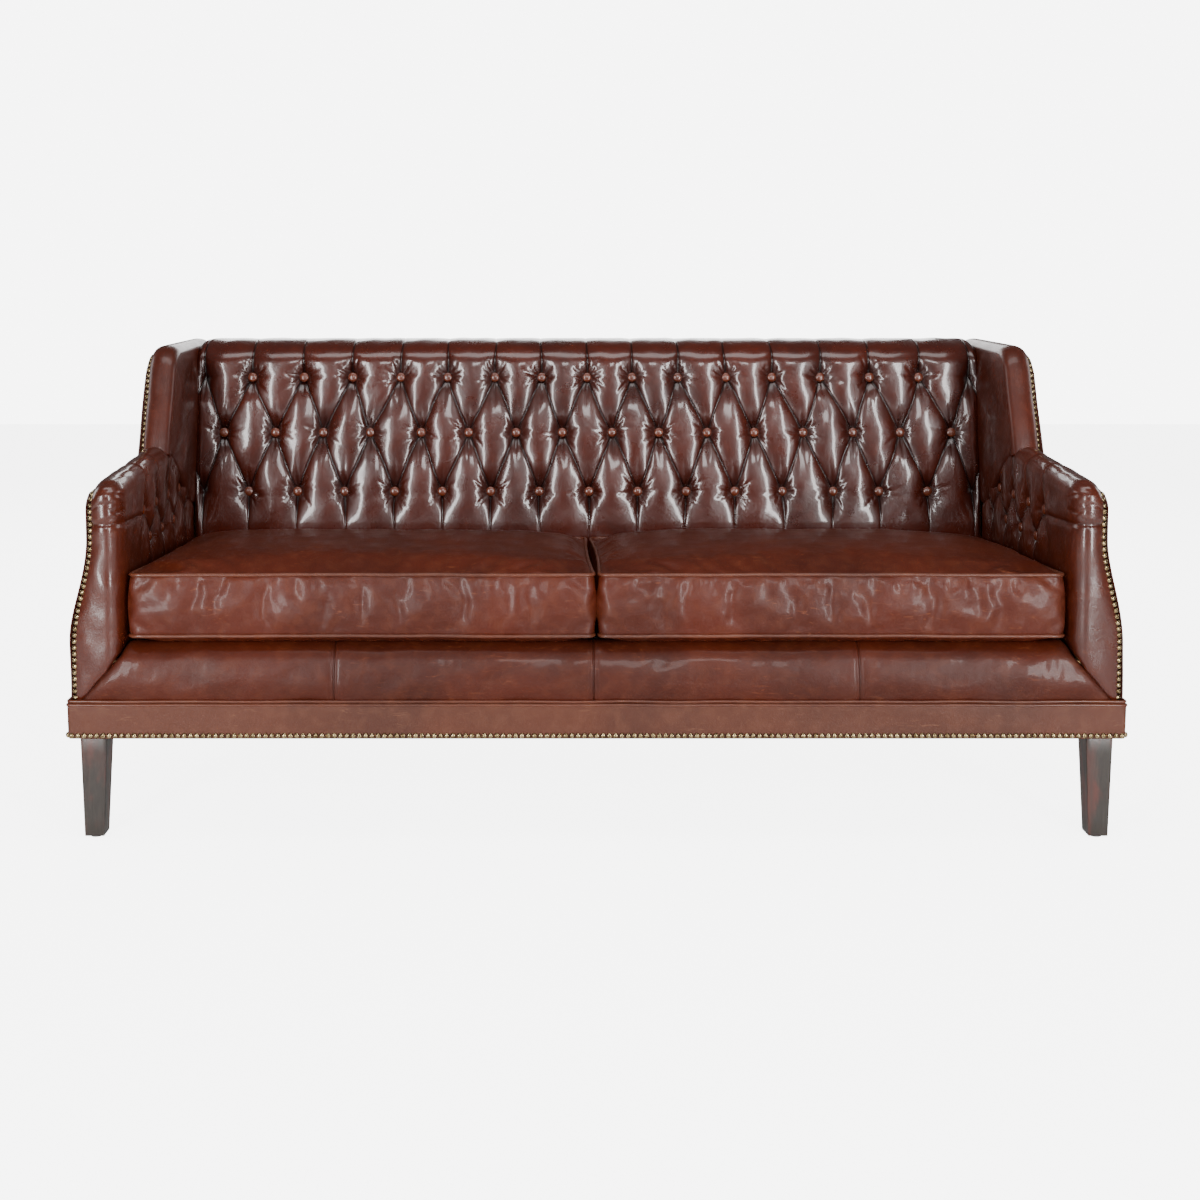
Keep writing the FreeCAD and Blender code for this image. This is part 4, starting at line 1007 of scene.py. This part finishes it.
def wing_skin(side):
    """The padded roll round the wing's edge, and its inner face down to behind the arm and the back."""
    path = wing_path(WING_STEPS)
    tangent = unit(np.gradient(path, axis=0))
    for n in range(3):
        tangent[1:-1] = (tangent[:-2] + tangent[1:-1] + tangent[2:]) / 3.0
    out = across_path(tangent)
    roll_rows, face_rows = 22, 26
    piece, column, row = leather_sheet(side + "_wing_leather", len(path) - 1, roll_rows + face_rows)
    turn = math.pi * np.clip(row / roll_rows, 0.0, 1.0)
    inward = np.clip((row - roll_rows) / face_rows, 0.0, 1.0)
    half = (ARM_NAIL_EDGE - ARM_INNER) / 2.0
    x = ARM_INNER + half + half * np.cos(turn)
    grow = WING_ROLL * np.sin(turn) ** 0.75
    edge = path[column] + out[column] * grow[:, None]
    place = edge + (WING_MEET - edge) * (inward ** 1.15)[:, None]
    puff = 4.0 * np.sin(math.pi * np.clip(inward * 1.2, 0.0, 1.0)) ** 0.8
    dent = 0.7 * rumple(place[:, 0], place[:, 1], 90.0, WING_SEED[side])
    seam = (place - np.array([WING_START, arm_crown(WING_START) - EDGE_DROP])) @ WING_SEAM
    tuck = WING_TUCK * np.exp(-np.maximum(seam, 0.0) / 6.0)
    x = x + (tuck - puff) * (inward > 0.0) + dent * (inward > 0.02)
    lay(piece, SIGN[side] * x, place[:, 0], place[:, 1])
    # Painted shade: the face is darkened where it tucks into its seam
    set_point_value(piece, "dent_shade", np.clip(tuck / WING_TUCK, 0.0, 1.0) * (inward > 0.0))
    merge_points(piece)
    faces_outward(piece)
    orient_by(piece, (-SIGN[side], -0.5, 0.3))
    add_modifier(piece, "SOLIDIFY", thickness=LEATHER * MM, offset=-1.0)
    round_shading(piece)
    dress(piece, plain_leather, "leather_dark", "frame", side + "_wing_pad")
    return piece


# Outside panels of arms and back
PANEL = 9.0
PANEL_SEED = {"left": 71, "right": 73}


def side_top(count):
    """The top edge of the arm's outside, from the front over the wing to the rear."""
    corner = 28.0
    top = arm_crown(33.0) - EDGE_DROP
    front = arc_between((ARM_FRONT_EDGE, top - corner), (ARM_FRONT_EDGE + 8.2, top - 8.2),
                        (ARM_FRONT_EDGE + corner, top), 10)
    return even_steps(np.concatenate([front, wing_path(60)]), count)


def outside_arm(side):
    """The plain outside of an arm and wing, flared towards the foot and pressed in along its nailed edge."""
    top = side_top(130)
    rows = 60
    piece, column, row = leather_sheet(side + "_outside_arm_leather", len(top) - 1, rows)
    share = row / rows
    height = BAND_TOP + (top[column, 1] - BAND_TOP) * share
    length = outside_back(height) - ARM_FRONT_EDGE
    depth = ARM_FRONT_EDGE + (top[column, 0] - ARM_FRONT_EDGE) * length / (OVERALL_DEPTH - ARM_FRONT_EDGE)
    edge = np.minimum(np.minimum(column, len(top) - 1 - column) * 8.0, np.minimum(rows - row, row) * 7.0)
    inset = 3.0 * np.exp(-edge / 5.0)
    puff = 2.5 * (1.0 - np.exp(-edge / 60.0)) + 0.8 * rumple(depth, height, 160.0, PANEL_SEED[side])
    x = flare_x(height) - inset + np.minimum(puff, 3.0) * 0.8
    lay(piece, SIGN[side] * x, depth, height)
    # Painted shade: the panel is darkened along its pressed-in edges
    set_point_value(piece, "dent_shade", np.clip(1.0 - edge / 8.0, 0.0, 1.0) * 0.4)
    orient_by(piece, (SIGN[side], 0.0, 0.0))
    add_modifier(piece, "SOLIDIFY", thickness=PANEL * MM, offset=-1.0)
    round_shading(piece, 50.0)
    dress(piece, plain_leather, "leather_dark", "frame", side + "_outside_arm_panel")
    return piece


def outside_back_leather():
    """The plain outside of the back, pressed in along its edges."""
    columns, rows = 150, 44
    piece, column, row = leather_sheet("outside_back_leather", columns, rows)
    across = column / columns * 2.0 - 1.0
    height = BAND_TOP + (OUTSIDE_BACK_TOP - BAND_TOP) * row / rows
    x = across * (flare_x(height) - 11.3)
    edge = np.minimum(np.minimum(column, columns - column) * 12.0, np.minimum(row, rows - row) * 13.0)
    puff = 3.0 * (1.0 - np.exp(-edge / 80.0)) - 2.5 * np.exp(-edge / 5.0) + 0.7 * rumple(x, height, 220.0, 81)
    depth = outside_back(height) + np.minimum(puff, 3.5) - 0.5
    lay(piece, x, depth, height)
    # Painted shade: the panel is darkened along its pressed-in edges
    set_point_value(piece, "dent_shade", np.clip(1.0 - edge / 10.0, 0.0, 1.0) * 0.4)
    orient_by(piece, (0.0, 1.0, 0.0))
    add_modifier(piece, "SOLIDIFY", thickness=PANEL * MM, offset=-1.0)
    round_shading(piece, 50.0)
    dress(piece, plain_leather, "leather_dark", "frame", "outside_back_panel")
    return piece


# Front border, a padded roll with sewn upright seams and slanted mitred ends
SEAMS = (-496.0, -6.0, 496.0)
BESIDE_SEAM = np.array([-9.0, -7.0, -5.0, -3.0, -1.5, 0.0, 1.5, 3.0, 5.0, 7.0, 9.0])
BORDER_HALF = 960.0


def mitre_x(height):
    """Half length of the border at a height, out to its slanted seam with the arm."""
    return np.interp(height, [BAND_TOP, 355.0, 372.0], [974.0, 898.0, 893.0])


def seat_border():
    """The border's leather, sewn from four lengths and led under the cushions."""
    across = np.linspace(-1.0, 1.0, 331)
    for seam in SEAMS:
        across = np.concatenate([across, (seam + BESIDE_SEAM) / BORDER_HALF])
    across = np.sort(across)
    columns = len(across) - 1
    foot, low = (BODY_SETBACK + 1.0, BAND_TOP), (BODY_SETBACK - 1.5, 276.0)
    brow = (BODY_SETBACK + 2.0, 338.0)
    swell = arc_between(low, (BODY_SETBACK - 4.5, 308.0), brow, 12)
    over = arc_between(brow, (BODY_SETBACK + 16.0, 361.0), (73.0, deck_level(73.0)), 14)
    under_cushion = (110.0, deck_level(110.0) - 1.0)
    path = even_steps(np.concatenate([[foot, low], swell[1:], over[1:], [under_cushion]]), 46)
    piece, column, row = leather_sheet("seat_border_leather", columns, len(path) - 1)
    depth, height = path[row, 0], path[row, 1]
    limit = mitre_x(height) + 3.0
    end_share = smooth_step(np.abs(across[column]), 0.86, 1.0)
    x = across[column] * BORDER_HALF + np.sign(across[column]) * (limit - BORDER_HALF) * end_share
    inward = -across_path(unit(np.gradient(path, axis=0)))[row]
    end = (limit - np.abs(x)) * 0.72
    sink = 7.5 * np.exp(-end / 5.0)
    for seam in SEAMS:
        off = np.abs(across[column] * BORDER_HALF - seam)
        sink = sink + 3.6 * np.exp(-off / 1.8) + 0.7 * np.exp(-((off - 7.0) / 2.0) ** 2)
    sink = sink + 0.7 * rumple(x, height * 2.0, 120.0, 91) + 0.25 * rumple(x, height, 30.0, 92)
    lay(piece, x, depth + inward[:, 0] * sink, height + inward[:, 1] * sink)
    # Painted shade: the border is darkened in its seam grooves, at its mitred ends and in its low places
    set_point_value(piece, "dent_shade", np.clip(sink / 7.0, 0.0, 1.0))
    orient_by(piece, (0.0, -1.0, 0.2))
    add_modifier(piece, "SOLIDIFY", thickness=4.0 * MM, offset=-1.0)
    round_shading(piece)
    dress(piece, border_leather, "leather_worn", "frame", "seat_front_border")
    return piece


# Base band with its double welt
BAND_CORNER = 9.0
BAND_STEP = 14.0
WELT_RADIUS = 2.6


def around_band(inset, radius, straight_step, corner_steps=6):
    """Points round the band, seen from above."""
    x, front, back = HALF_WIDTH - inset, inset, SEAT_FRAME_DEPTH - inset
    centres = [(x - radius, front + radius, -90.0), (x - radius, back - radius, 0.0),
               (-x + radius, back - radius, 90.0), (-x + radius, front + radius, 180.0)]
    points = []
    for cx, cy, start in centres:
        for n in range(corner_steps + 1):
            turn = math.radians(start + 90.0 * n / corner_steps)
            points.append((cx + radius * math.cos(turn), cy + radius * math.sin(turn)))
    closed = points + points[:1]
    path = []
    for a, b in zip(closed, closed[1:]):
        steps = max(1, int(math.dist(a, b) / straight_step))
        for n in range(steps):
            path.append((a[0] + (b[0] - a[0]) * n / steps, a[1] + (b[1] - a[1]) * n / steps))
    return np.array(path)


def ring_about(name, path, section):
    """A closed ring: a section of (outward, height) points carried round a closed path.

    Gives the piece, and for each of its points the place seen from above, the height and the section's point.
    """
    count, around = len(path), len(section)
    out = -across_path(unit(np.roll(path, -1, axis=0) - np.roll(path, 1, axis=0)))
    piece, column, row = leather_sheet(name, count, around)
    c, r = column % count, row % around
    profile = np.array(section)[r]
    flat = path[c] + out[c] * profile[:, :1]
    return piece, flat, profile[:, 1], r


def base_band_leather():
    """The band's leather round the seat frame, turned under at the foot and at the top."""
    path = around_band(0.0, BAND_CORNER, BAND_STEP)
    foot, top = UNDERSIDE + 0.3, BAND_TOP - 0.3
    section = [(-14.0, foot), (-7.0, foot), (-3.0, foot + 0.2), (-1.8, foot + 2.0), (-1.6, foot + 6.0)]
    section += [(-1.4 + 1.4 * (h - foot) / 69.0, h) for h in np.linspace(foot + 12.0, top - 9.0, 9)]
    section += [(-0.2, top - 4.0), (-1.0, top - 1.2), (-3.0, top), (-8.0, top), (-14.0, top)]
    piece, flat, height, r = ring_about("base_band_leather", path, section)
    wave = 0.35 * rumple(flat[:, 0] + flat[:, 1], height, 90.0, 101)
    seam = 1.2 * np.exp(-np.abs(flat[:, 0] + 6.0) / 2.0) * (flat[:, 1] < 100.0)
    keep = (r > 2) & (r < len(section) - 3)
    flat[:, 1] += np.where((flat[:, 1] < 5.0) & keep, wave + seam, 0.0)
    lay(piece, flat[:, 0], flat[:, 1], height)
    merge_points(piece)
    faces_outward(piece)
    round_shading(piece, 60.0)
    dress(piece, band_leather, "leather_band", "frame", "base_band_front", "base_band_left",
          "base_band_rear", "base_band_right")
    return piece


def welt_ring(name, inset, height):
    """One round cord of welting, all the way round."""
    path = around_band(inset, 6.0, 7.0)
    section = []
    for n in range(10):
        turn = 2.0 * math.pi * n / 10.0
        section.append((WELT_RADIUS * math.cos(turn), height + WELT_RADIUS * math.sin(turn)))
    piece, flat, level, _ = ring_about(name, path, section)
    level = level + 0.4 * rumple(flat[:, 0], flat[:, 1], 140.0, 105)
    lay(piece, flat[:, 0], flat[:, 1], level)
    merge_points(piece)
    faces_outward(piece)
    round_shading(piece)
    return piece


def base_welts():
    upper = welt_ring("base_welt_leather", WELT_RADIUS, BAND_TOP + WELT_RADIUS)
    lower = welt_ring("base_welt_lower", 1.2, BAND_TOP - 4.2)
    piece = join_pieces([upper, lower], "base_welt_leather")
    dress(piece, welt_leather, "leather_welt", "frame", "base_welt")
    return piece


# Nail heads
NAIL_RADIUS = 5.4
NAIL_DOME = 3.3
TURN_DEPTH = 44.0
FACES_FRONT = (0.35, -1.0, 0.0)
FACES_TURN = (0.55, -0.75, 0.6)
FACES_TOP = (0.6, 0.0, 0.8)


def nail_form():
    """The domed head of an upholstery nail, eleven millimetres across."""
    deselect_all()
    bpy.ops.mesh.primitive_uv_sphere_add(segments=10, ring_count=6, radius=1.0)
    piece = bpy.context.active_object
    points = points_of(piece)
    low = points[:, 2] < -0.2
    points[:, 2] = np.where(low, -0.12, points[:, 2])
    points[low, :2] *= 0.9
    points[:, :2] *= NAIL_RADIUS
    points[:, 2] *= NAIL_DOME
    set_points(piece, points)
    merge_points(piece, 0.001)
    return piece


def spaced(path, close=False):
    """Places at about a nail's pitch along a path."""
    path = np.asarray(path, dtype=float)
    if close:
        path = np.concatenate([path, path[:1]])
    lengths = np.concatenate([[0.0], np.cumsum(np.linalg.norm(np.diff(path, axis=0), axis=1))])
    count = max(2, int(round(lengths[-1] / NAIL_PITCH)) + (0 if close else 1))
    wanted = np.linspace(0.0, lengths[-1], count, endpoint=not close)
    return np.stack([np.interp(wanted, lengths, path[:, n]) for n in range(3)], axis=1)


def band_nails(pattern):
    """The row round the foot of the band."""
    band = around_band(0.4, BAND_CORNER, BAND_STEP)
    row = spaced(np.column_stack([band, np.full(len(band), UNDERSIDE + 7.0)]), close=True)
    lay_nails("base_band_nails", pattern, row, outward_of_band(row))


def arm_nails(side, pattern):
    """The row up the arm's front edge, round the corner and back along the top to the wing."""
    heights = np.linspace(BAND_TOP + 8.0, arm_crown(5.0) - EDGE_DROP - 26.0, 40)
    edge = flare_x(heights, ARM_NAIL_EDGE) + 1.5
    front = np.column_stack([edge, np.full(40, ARM_FRONT_EDGE - 1.5), heights])
    corner = side_top(130)
    corner = corner[(corner[:, 0] < TURN_DEPTH) & (corner[:, 1] > heights[-1])]
    turn = np.column_stack([np.full(len(corner), ARM_NAIL_EDGE + 1.0), corner + (-1.0, 0.5)])
    along = np.linspace(TURN_DEPTH, WING_START - 26.0, 20)
    top = np.column_stack([np.full(20, ARM_NAIL_EDGE + 1.5), along, arm_crown(along) - EDGE_DROP + 1.0])
    row = spaced(np.concatenate([front, turn[1:], top]))
    facing = []
    for x, depth, height in row:
        if depth < 15.0 and height < heights[-1] + 4.0:
            facing.append(FACES_FRONT)
        else:
            facing.append(FACES_TURN if depth < TURN_DEPTH - 2.0 else FACES_TOP)
    lay_nails(side + "_arm_nails", pattern, *mirrored(side, row, np.array(facing)))


def wing_nails(side, pattern):
    """The row along the outer edge of the wing."""
    path = wing_path(WING_STEPS)
    out = across_path(unit(np.gradient(path, axis=0)))
    edge = path + out * 2.5
    row = spaced(np.column_stack([np.full(WING_STEPS, ARM_NAIL_EDGE + 2.0), edge]))
    near = np.array([np.argmin(np.hypot(*(edge - place[1:]).T)) for place in row])
    facing = np.column_stack([np.full(len(row), 0.55), out[near]])
    lay_nails(side + "_wing_nails", pattern, *mirrored(side, row, facing))


def mirrored(side, row, facing):
    across = np.array([SIGN[side], 1.0, 1.0])
    return row * across, facing * across


def nail_rows():
    pattern = nail_form()
    band_nails(pattern)
    for side in SIGN:
        arm_nails(side, pattern)
        wing_nails(side, pattern)
    bpy.data.objects.remove(pattern)


def outward_of_band(row):
    """The way each nail of the band's row faces, aslant at the corners."""
    out = np.zeros((len(row), 3))
    out[:, 0] = (row[:, 0] > HALF_WIDTH - BAND_CORNER) * 1.0 - (row[:, 0] < BAND_CORNER - HALF_WIDTH)
    out[:, 1] = (row[:, 1] > SEAT_FRAME_DEPTH - BAND_CORNER) * 1.0 - (row[:, 1] < BAND_CORNER)
    return out


def lay_nails(name, pattern, row, facing):
    """Nails keep the slot of plated steel, because the record has none for brass."""
    places = np.column_stack([row[:, 0], at(row[:, 1]), row[:, 2]])
    piece = copies_at(name, pattern, places, facing)
    dress(piece, nail_brass, "steel_glide", "frame")
    return piece


# Legs
LEG_TOP = 50.0
LEG_FOOT = 37.0
LEG_SPLAY = 4.5


def leg(side, end):
    """A square leg that tapers to its foot, most on its inner sides."""
    sign = SIGN[side]
    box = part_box(side + "_" + end + "_leg")
    low, high = np.array(box[0]) / MM, np.array(box[1]) / MM
    deselect_all()
    bpy.ops.mesh.primitive_cube_add(size=1.0)
    piece = bpy.context.active_object
    piece.name = side + "_" + end + "_leg_wood"
    edit_all(piece, bpy.ops.mesh.subdivide, number_cuts=5)
    points = points_of(piece) + 0.5
    height = low[2] + (high[2] - low[2]) * points[:, 2]
    thick = LEG_FOOT + (LEG_TOP - LEG_FOOT) * points[:, 2]
    splay = LEG_SPLAY * (1.0 - points[:, 2])
    x = (high[0] if sign > 0 else -low[0]) - splay - thick * (1.0 - points[:, 0])
    if end == "front":
        y = low[1] + splay + thick * points[:, 1]
    else:
        y = high[1] - splay - thick * (1.0 - points[:, 1])
    off_middle = np.abs(points[:, :2] * 2.0 - 1.0) * (np.abs(points[:, :2] - 0.5) < 0.49)
    worn = 1.0 - off_middle.max(axis=1)
    set_points(piece, np.stack([sign * x, y, height], axis=1) * MM)
    set_point_value(piece, "worn", np.clip(worn * 1.4, 0.0, 1.0))
    faces_outward(piece)
    add_modifier(piece, "BEVEL", width=1.6 * MM, segments=2, limit_method="ANGLE")
    round_shading(piece, 40.0)
    dress(piece, leg_wood, "dark_stained_wood", "frame", side + "_" + end + "_leg")
    return piece


# Loose seat cushions, sewn from a top, a bottom and a boxing strip, then filled
CUSHION_HALF_X = 439.5
CUSHION_HALF_Y = 289.0
CUSHION_CORNER = 19.0
BELLY = 16.0
BOXING = 115.0
CROWN = 33.0
SEAM_BOW = 6.0
PIPING_RADIUS = 3.6
FILL_STEPS = 20
FILL_LIMIT = 9.0
CUSHION_GAP = 4.5
CUSHION_FRONT = 6.0
CUSHION_SEED = {"left": 201, "right": 211}


def cushion_plan(u, v):
    """Plan of the cushion: drawn-in sides and rounded corners."""
    x = u * (CUSHION_HALF_X - SEAM_BOW * (1.0 - v * v))
    y = v * (CUSHION_HALF_Y - SEAM_BOW * (1.0 - u * u))
    radius = CUSHION_CORNER
    a = np.clip((np.abs(x) - (CUSHION_HALF_X - radius)) / radius, 0.0, 1.0)
    b = np.clip((np.abs(y) - (CUSHION_HALF_Y - radius)) / radius, 0.0, 1.0)
    corner = (a > 0.0) & (b > 0.0)
    ax, by = a * np.sqrt(1.0 - b * b / 2.0), b * np.sqrt(1.0 - a * a / 2.0)
    x = np.where(corner, np.sign(x) * (CUSHION_HALF_X - radius + radius * ax), x)
    y = np.where(corner, np.sign(y) * (CUSHION_HALF_Y - radius + radius * by), y)
    return x, y


def cushion_panel(name, across, along, height_of):
    piece, column, row = leather_sheet(name, across, along)
    u, v = column / across * 2.0 - 1.0, row / along * 2.0 - 1.0
    x, y = cushion_plan(u, v)
    set_points(piece, np.stack([x, y, height_of(u, v)], axis=1))
    return piece


def boxing_strip(name, across, along, rows):
    """The strip between the seams, its columns at the points of the panels' edges."""
    edge = [(2.0 * n / across - 1.0, -1.0) for n in range(across)]
    edge += [(1.0, 2.0 * n / along - 1.0) for n in range(along)]
    edge += [(1.0 - 2.0 * n / across, 1.0) for n in range(across)]
    edge += [(-1.0, 1.0 - 2.0 * n / along) for n in range(along)]
    edge = np.array(edge)
    x, y = cushion_plan(edge[:, 0], edge[:, 1])
    path = np.stack([x, y], axis=1)
    out = -across_path(unit(np.roll(path, -1, axis=0) - np.roll(path, 1, axis=0)))
    piece, column, row = leather_sheet(name, len(path), rows)
    c = column % len(path)
    share = row / rows
    flat = path[c] + out[c] * (3.5 * np.sin(math.pi * share))[:, None]
    set_points(piece, np.column_stack([flat, BELLY + BOXING * share]))
    return piece, path


def crowned(u, v):
    """Height of the top panel, full in the middle and flat along the seams."""
    return BELLY + BOXING + CROWN * ((1.0 - np.abs(u) ** 4.5) * (1.0 - np.abs(v) ** 2.8)) ** 0.75


def bellied(u, v):
    """Height of the bottom panel, flat where it rests and turned up to its seam."""
    edge = np.maximum(np.abs(u) ** 6, np.abs(v) ** 5)
    return BELLY * smooth_step(edge, 0.45, 1.0)


def fill_by_cloth(piece, fixed):
    """Blow the sewn cover up against its filling, with its seams held where they are sewn."""
    before = points_of(piece)
    held = piece.vertex_groups.new(name="seams")
    held.add([int(i) for i in np.nonzero(fixed)[0]], 1.0, "REPLACE")
    work_on(piece)
    cloth = piece.modifiers.new("Filling", "CLOTH")
    settings = cloth.settings
    settings.quality = 5
    settings.mass = 0.4
    settings.tension_stiffness = 22.0
    settings.compression_stiffness = 22.0
    settings.shear_stiffness = 8.0
    settings.bending_stiffness = 1.2
    settings.use_pressure = True
    settings.uniform_pressure_force = 4.0
    settings.shrink_min = -0.025
    settings.vertex_group_mass = "seams"
    settings.effector_weights.gravity = 0.0
    for n in range(FILL_STEPS):
        bpy.context.scene.frame_set(n + 1)
    evaluated = piece.evaluated_get(bpy.context.evaluated_depsgraph_get())
    after = np.empty(len(before) * 3)
    evaluated.data.vertices.foreach_get("co", after)
    after = after.reshape(-1, 3)
    piece.modifiers.remove(cloth)
    bpy.context.scene.frame_set(1)
    move = after - before
    length = np.linalg.norm(move, axis=1)
    cap = FILL_LIMIT * MM
    move *= np.where(length > cap, cap / np.maximum(length, 1e-9), 1.0)[:, None]
    set_points(piece, before + move)
    piece.vertex_groups.remove(held)


def place_cushion(points, side):
    """Put local millimetre points of a cushion where it lies on the sloping seat."""
    x = points[:, 0] + SIGN[side] * (CUSHION_GAP + CUSHION_HALF_X)
    y = points[:, 1] + at(CUSHION_FRONT + CUSHION_HALF_Y) - at(FRONT_RAIL_BACK)
    z = points[:, 2] + DECK_RISE + 0.3
    turn = -SEAT_PITCH
    return np.column_stack([x, at(FRONT_RAIL_BACK) + y * math.cos(turn) - z * math.sin(turn),
                            FRONT_RAIL_TOP + y * math.sin(turn) + z * math.cos(turn)]) * MM


def seat_cushion(side):
    across, along, rows = 98, 64, 14
    top = cushion_panel("top_panel", across, along, crowned)
    bottom = cushion_panel("bottom_panel", across, along, bellied)
    strip, path = boxing_strip("boxing", across, along, rows)
    piece = join_pieces([top, bottom, strip], side + "_seat_cushion")
    set_points(piece, points_of(piece) * MM)
    merge_points(piece, 0.3 * MM)
    faces_outward(piece)
    points = points_of(piece) / MM
    on_edge = np.min(np.abs(points[:, None, 2] - np.array([BELLY, BELLY + BOXING])), axis=1) < 0.4
    rim = (np.abs(points[:, 0]) > CUSHION_HALF_X - 26.0) | (np.abs(points[:, 1]) > CUSHION_HALF_Y - 26.0)
    resting = points[:, 2] < 0.5
    fill_by_cloth(piece, (on_edge & rim) | resting)
    add_modifier(piece, "SUBSURF", levels=1, render_levels=1)
    points = points_of(piece) / MM
    shape_cushion(points, CUSHION_SEED[side])
    set_point_value(piece, "dent_shade", np.zeros(len(points)))
    set_points(piece, place_cushion(points, side))
    round_shading(piece)
    dress(piece, cushion_leather, "leather_worn", side + "_cushion", side + "_cushion_cover")
    cushion_piping(side, path)
    return piece


def shape_cushion(points, seed):
    """Sitting dents on the top and small upright puckers under the seams of the boxing."""
    x, y, z = points[:, 0], points[:, 1], points[:, 2]
    on_top = smooth_step(z, BELLY + BOXING + 3.0, BELLY + BOXING + 20.0)
    points[:, 2] += on_top * (2.2 * rumple(x, y, 330.0, seed) + 0.6 * rumple(x, y, 90.0, seed + 1))
    seam = BELLY + BOXING
    boxing = smooth_step(z, BELLY + 4.0, BELLY + 16.0) * (1.0 - smooth_step(z, seam - 10.0, seam - 2.0))
    front = boxing * (y < -CUSHION_HALF_Y + 30.0)
    pucker = np.maximum(0.0, rumple(x, z * 0.18, 21.0, seed + 2)) * smooth_step(z, BELLY + 60.0, seam - 8.0)
    swell = 1.1 * rumple(x, z * 2.0, 130.0, seed + 3) + 0.35 * rumple(x, z, 34.0, seed + 4)
    points[:, 1] += front * (0.9 * pucker - swell)


def cushion_piping(side, path):
    """Leather piping sewn into both seams."""
    pieces = []
    for level, name in ((BELLY + BOXING, "top"), (BELLY, "bottom")):
        curve = bpy.data.curves.new(side + "_piping_" + name, "CURVE")
        curve.dimensions = "3D"
        curve.bevel_depth = PIPING_RADIUS * MM
        curve.bevel_resolution = 3
        spline = curve.splines.new("POLY")
        spline.points.add(len(path) - 1)
        spline.use_cyclic_u = True
        local = np.column_stack([path, np.full(len(path), level)])
        local[:, 2] += 0.5 * rumple(path[:, 0], path[:, 1], 120.0, 231)
        for point, place in zip(spline.points, place_cushion(local, side)):
            point.co = (*place, 1.0)
        made = bpy.data.objects.new(curve.name, curve)
        bpy.context.scene.collection.objects.link(made)
        work_on(made)
        bpy.ops.object.convert(target="MESH")
        pieces.append(bpy.context.active_object)
    piece = join_pieces(pieces, side + "_cushion_piping")
    round_shading(piece)
    dress(piece, welt_leather, "leather_welt", side + "_cushion")
    return piece


# Stage, light and camera; the camera alone sees the stage as bright white
FLOOR_GLOW = 5.6
AIR_LIGHT = 0.12
AIR_SEEN = 7.0


def stage_floor():
    deselect_all()
    bpy.ops.mesh.primitive_plane_add(size=14.0, location=(0.0, 0.0, -0.0005))
    floor = bpy.context.active_object
    floor.name = "studio_floor"
    material, tree = new_material("studio_floor")
    place = object_place(tree)
    tone = add_node(tree, "TexNoise", {"Vector": place, "Scale": per_metre(500.0), "Detail": 2.0})
    seen = add_node(tree, "LightPath", output="Is Camera Ray")
    glow = add_node(tree, "Math", {0: seen, 1: FLOOR_GLOW}, operation="MULTIPLY")
    surface(tree, Base_Color=stain_or_shade(tree, linear("#f4f4f3"), tone, 1.0, "#efefee"), Roughness=0.9,
            Emission_Color=linear("#ffffff"), Emission_Strength=glow)
    floor.data.materials.append(material)


def soft_light(name, place, target, width, height, power):
    """A rectangular soft box that faces a target and doesn't show in the picture."""
    light = bpy.data.lights.new(name, "AREA")
    light.shape = "RECTANGLE"
    light.size = width
    light.size_y = height
    light.energy = power
    lamp = bpy.data.objects.new(name, light)
    bpy.context.scene.collection.objects.link(lamp)
    lamp.location = place
    lamp.visible_camera = False
    direction = np.array(target) - np.array(place)
    yaw = math.atan2(-direction[0], direction[1])
    tilt = math.atan2(math.hypot(direction[0], direction[1]), -direction[2])
    lamp.rotation_euler = (tilt, 0.0, yaw)


def light_studio():
    """Two tall strips draw the upright lights in the leather; the rest is even and soft."""
    world = bpy.data.worlds.new("studio_air")
    world.use_nodes = True
    tree = world.node_tree
    tree.nodes.clear()
    seen = add_node(tree, "LightPath", output="Is Camera Ray")
    bright = add_node(tree, "MapRange", {"Value": seen, "To Min": AIR_LIGHT, "To Max": AIR_SEEN})
    air = add_node(tree, "Background", {"Color": linear("#ffffff"), "Strength": bright})
    add_node(tree, "OutputWorld", {"Surface": air})
    bpy.context.scene.world = world
    soft_light("front_key", (0.3, -4.0, 2.3), (0.0, 0.1, 0.6), width=1.2, height=0.7, power=45.0)
    soft_light("overhead", (0.0, -0.9, 3.1), (0.0, 0.0, 0.4), width=3.0, height=1.0, power=44.0)
    soft_light("rear_fill", (0.0, 3.7, 1.9), (0.0, 0.2, 0.5), width=3.4, height=1.6, power=85.0)
    for side, sign in SIGN.items():
        soft_light(side + "_strip", (sign * 2.0, -3.3, 1.05), (0.0, 0.0, 0.75), width=0.45, height=2.0,
                   power=100.0)
        soft_light(side + "_side_fill", (sign * 3.6, 0.9, 1.7), (sign * 0.9, 0.2, 0.5), width=1.6,
                   height=1.4, power=26.0)


def place_camera():
    """At the photograph's distance and height, with its framing made by a small shift."""
    data = bpy.data.cameras.new("camera")
    data.lens = 46.05
    data.sensor_width = 36.0
    data.shift_x = 0.0475
    data.shift_y = -0.216
    camera = bpy.data.objects.new("camera", data)
    bpy.context.scene.collection.objects.link(camera)
    camera.location = (-0.1015, -3.265, 1.098)
    camera.rotation_euler = (math.radians(87.0), 0.0, 0.0)
    bpy.context.scene.camera = camera


def build_sofa():
    finish_hidden_solids()
    tufted_back()
    back_buttons()
    for side in SIGN:
        arm_skin(side)
        arm_button_caps(side)
        wing_skin(side)
        outside_arm(side)
        seat_cushion(side)
        for end in ("front", "rear"):
            leg(side, end)
    outside_back_leather()
    seat_border()
    base_band_leather()
    base_welts()
    nail_rows()


build_sofa()
stage_floor()
light_studio()
place_camera()
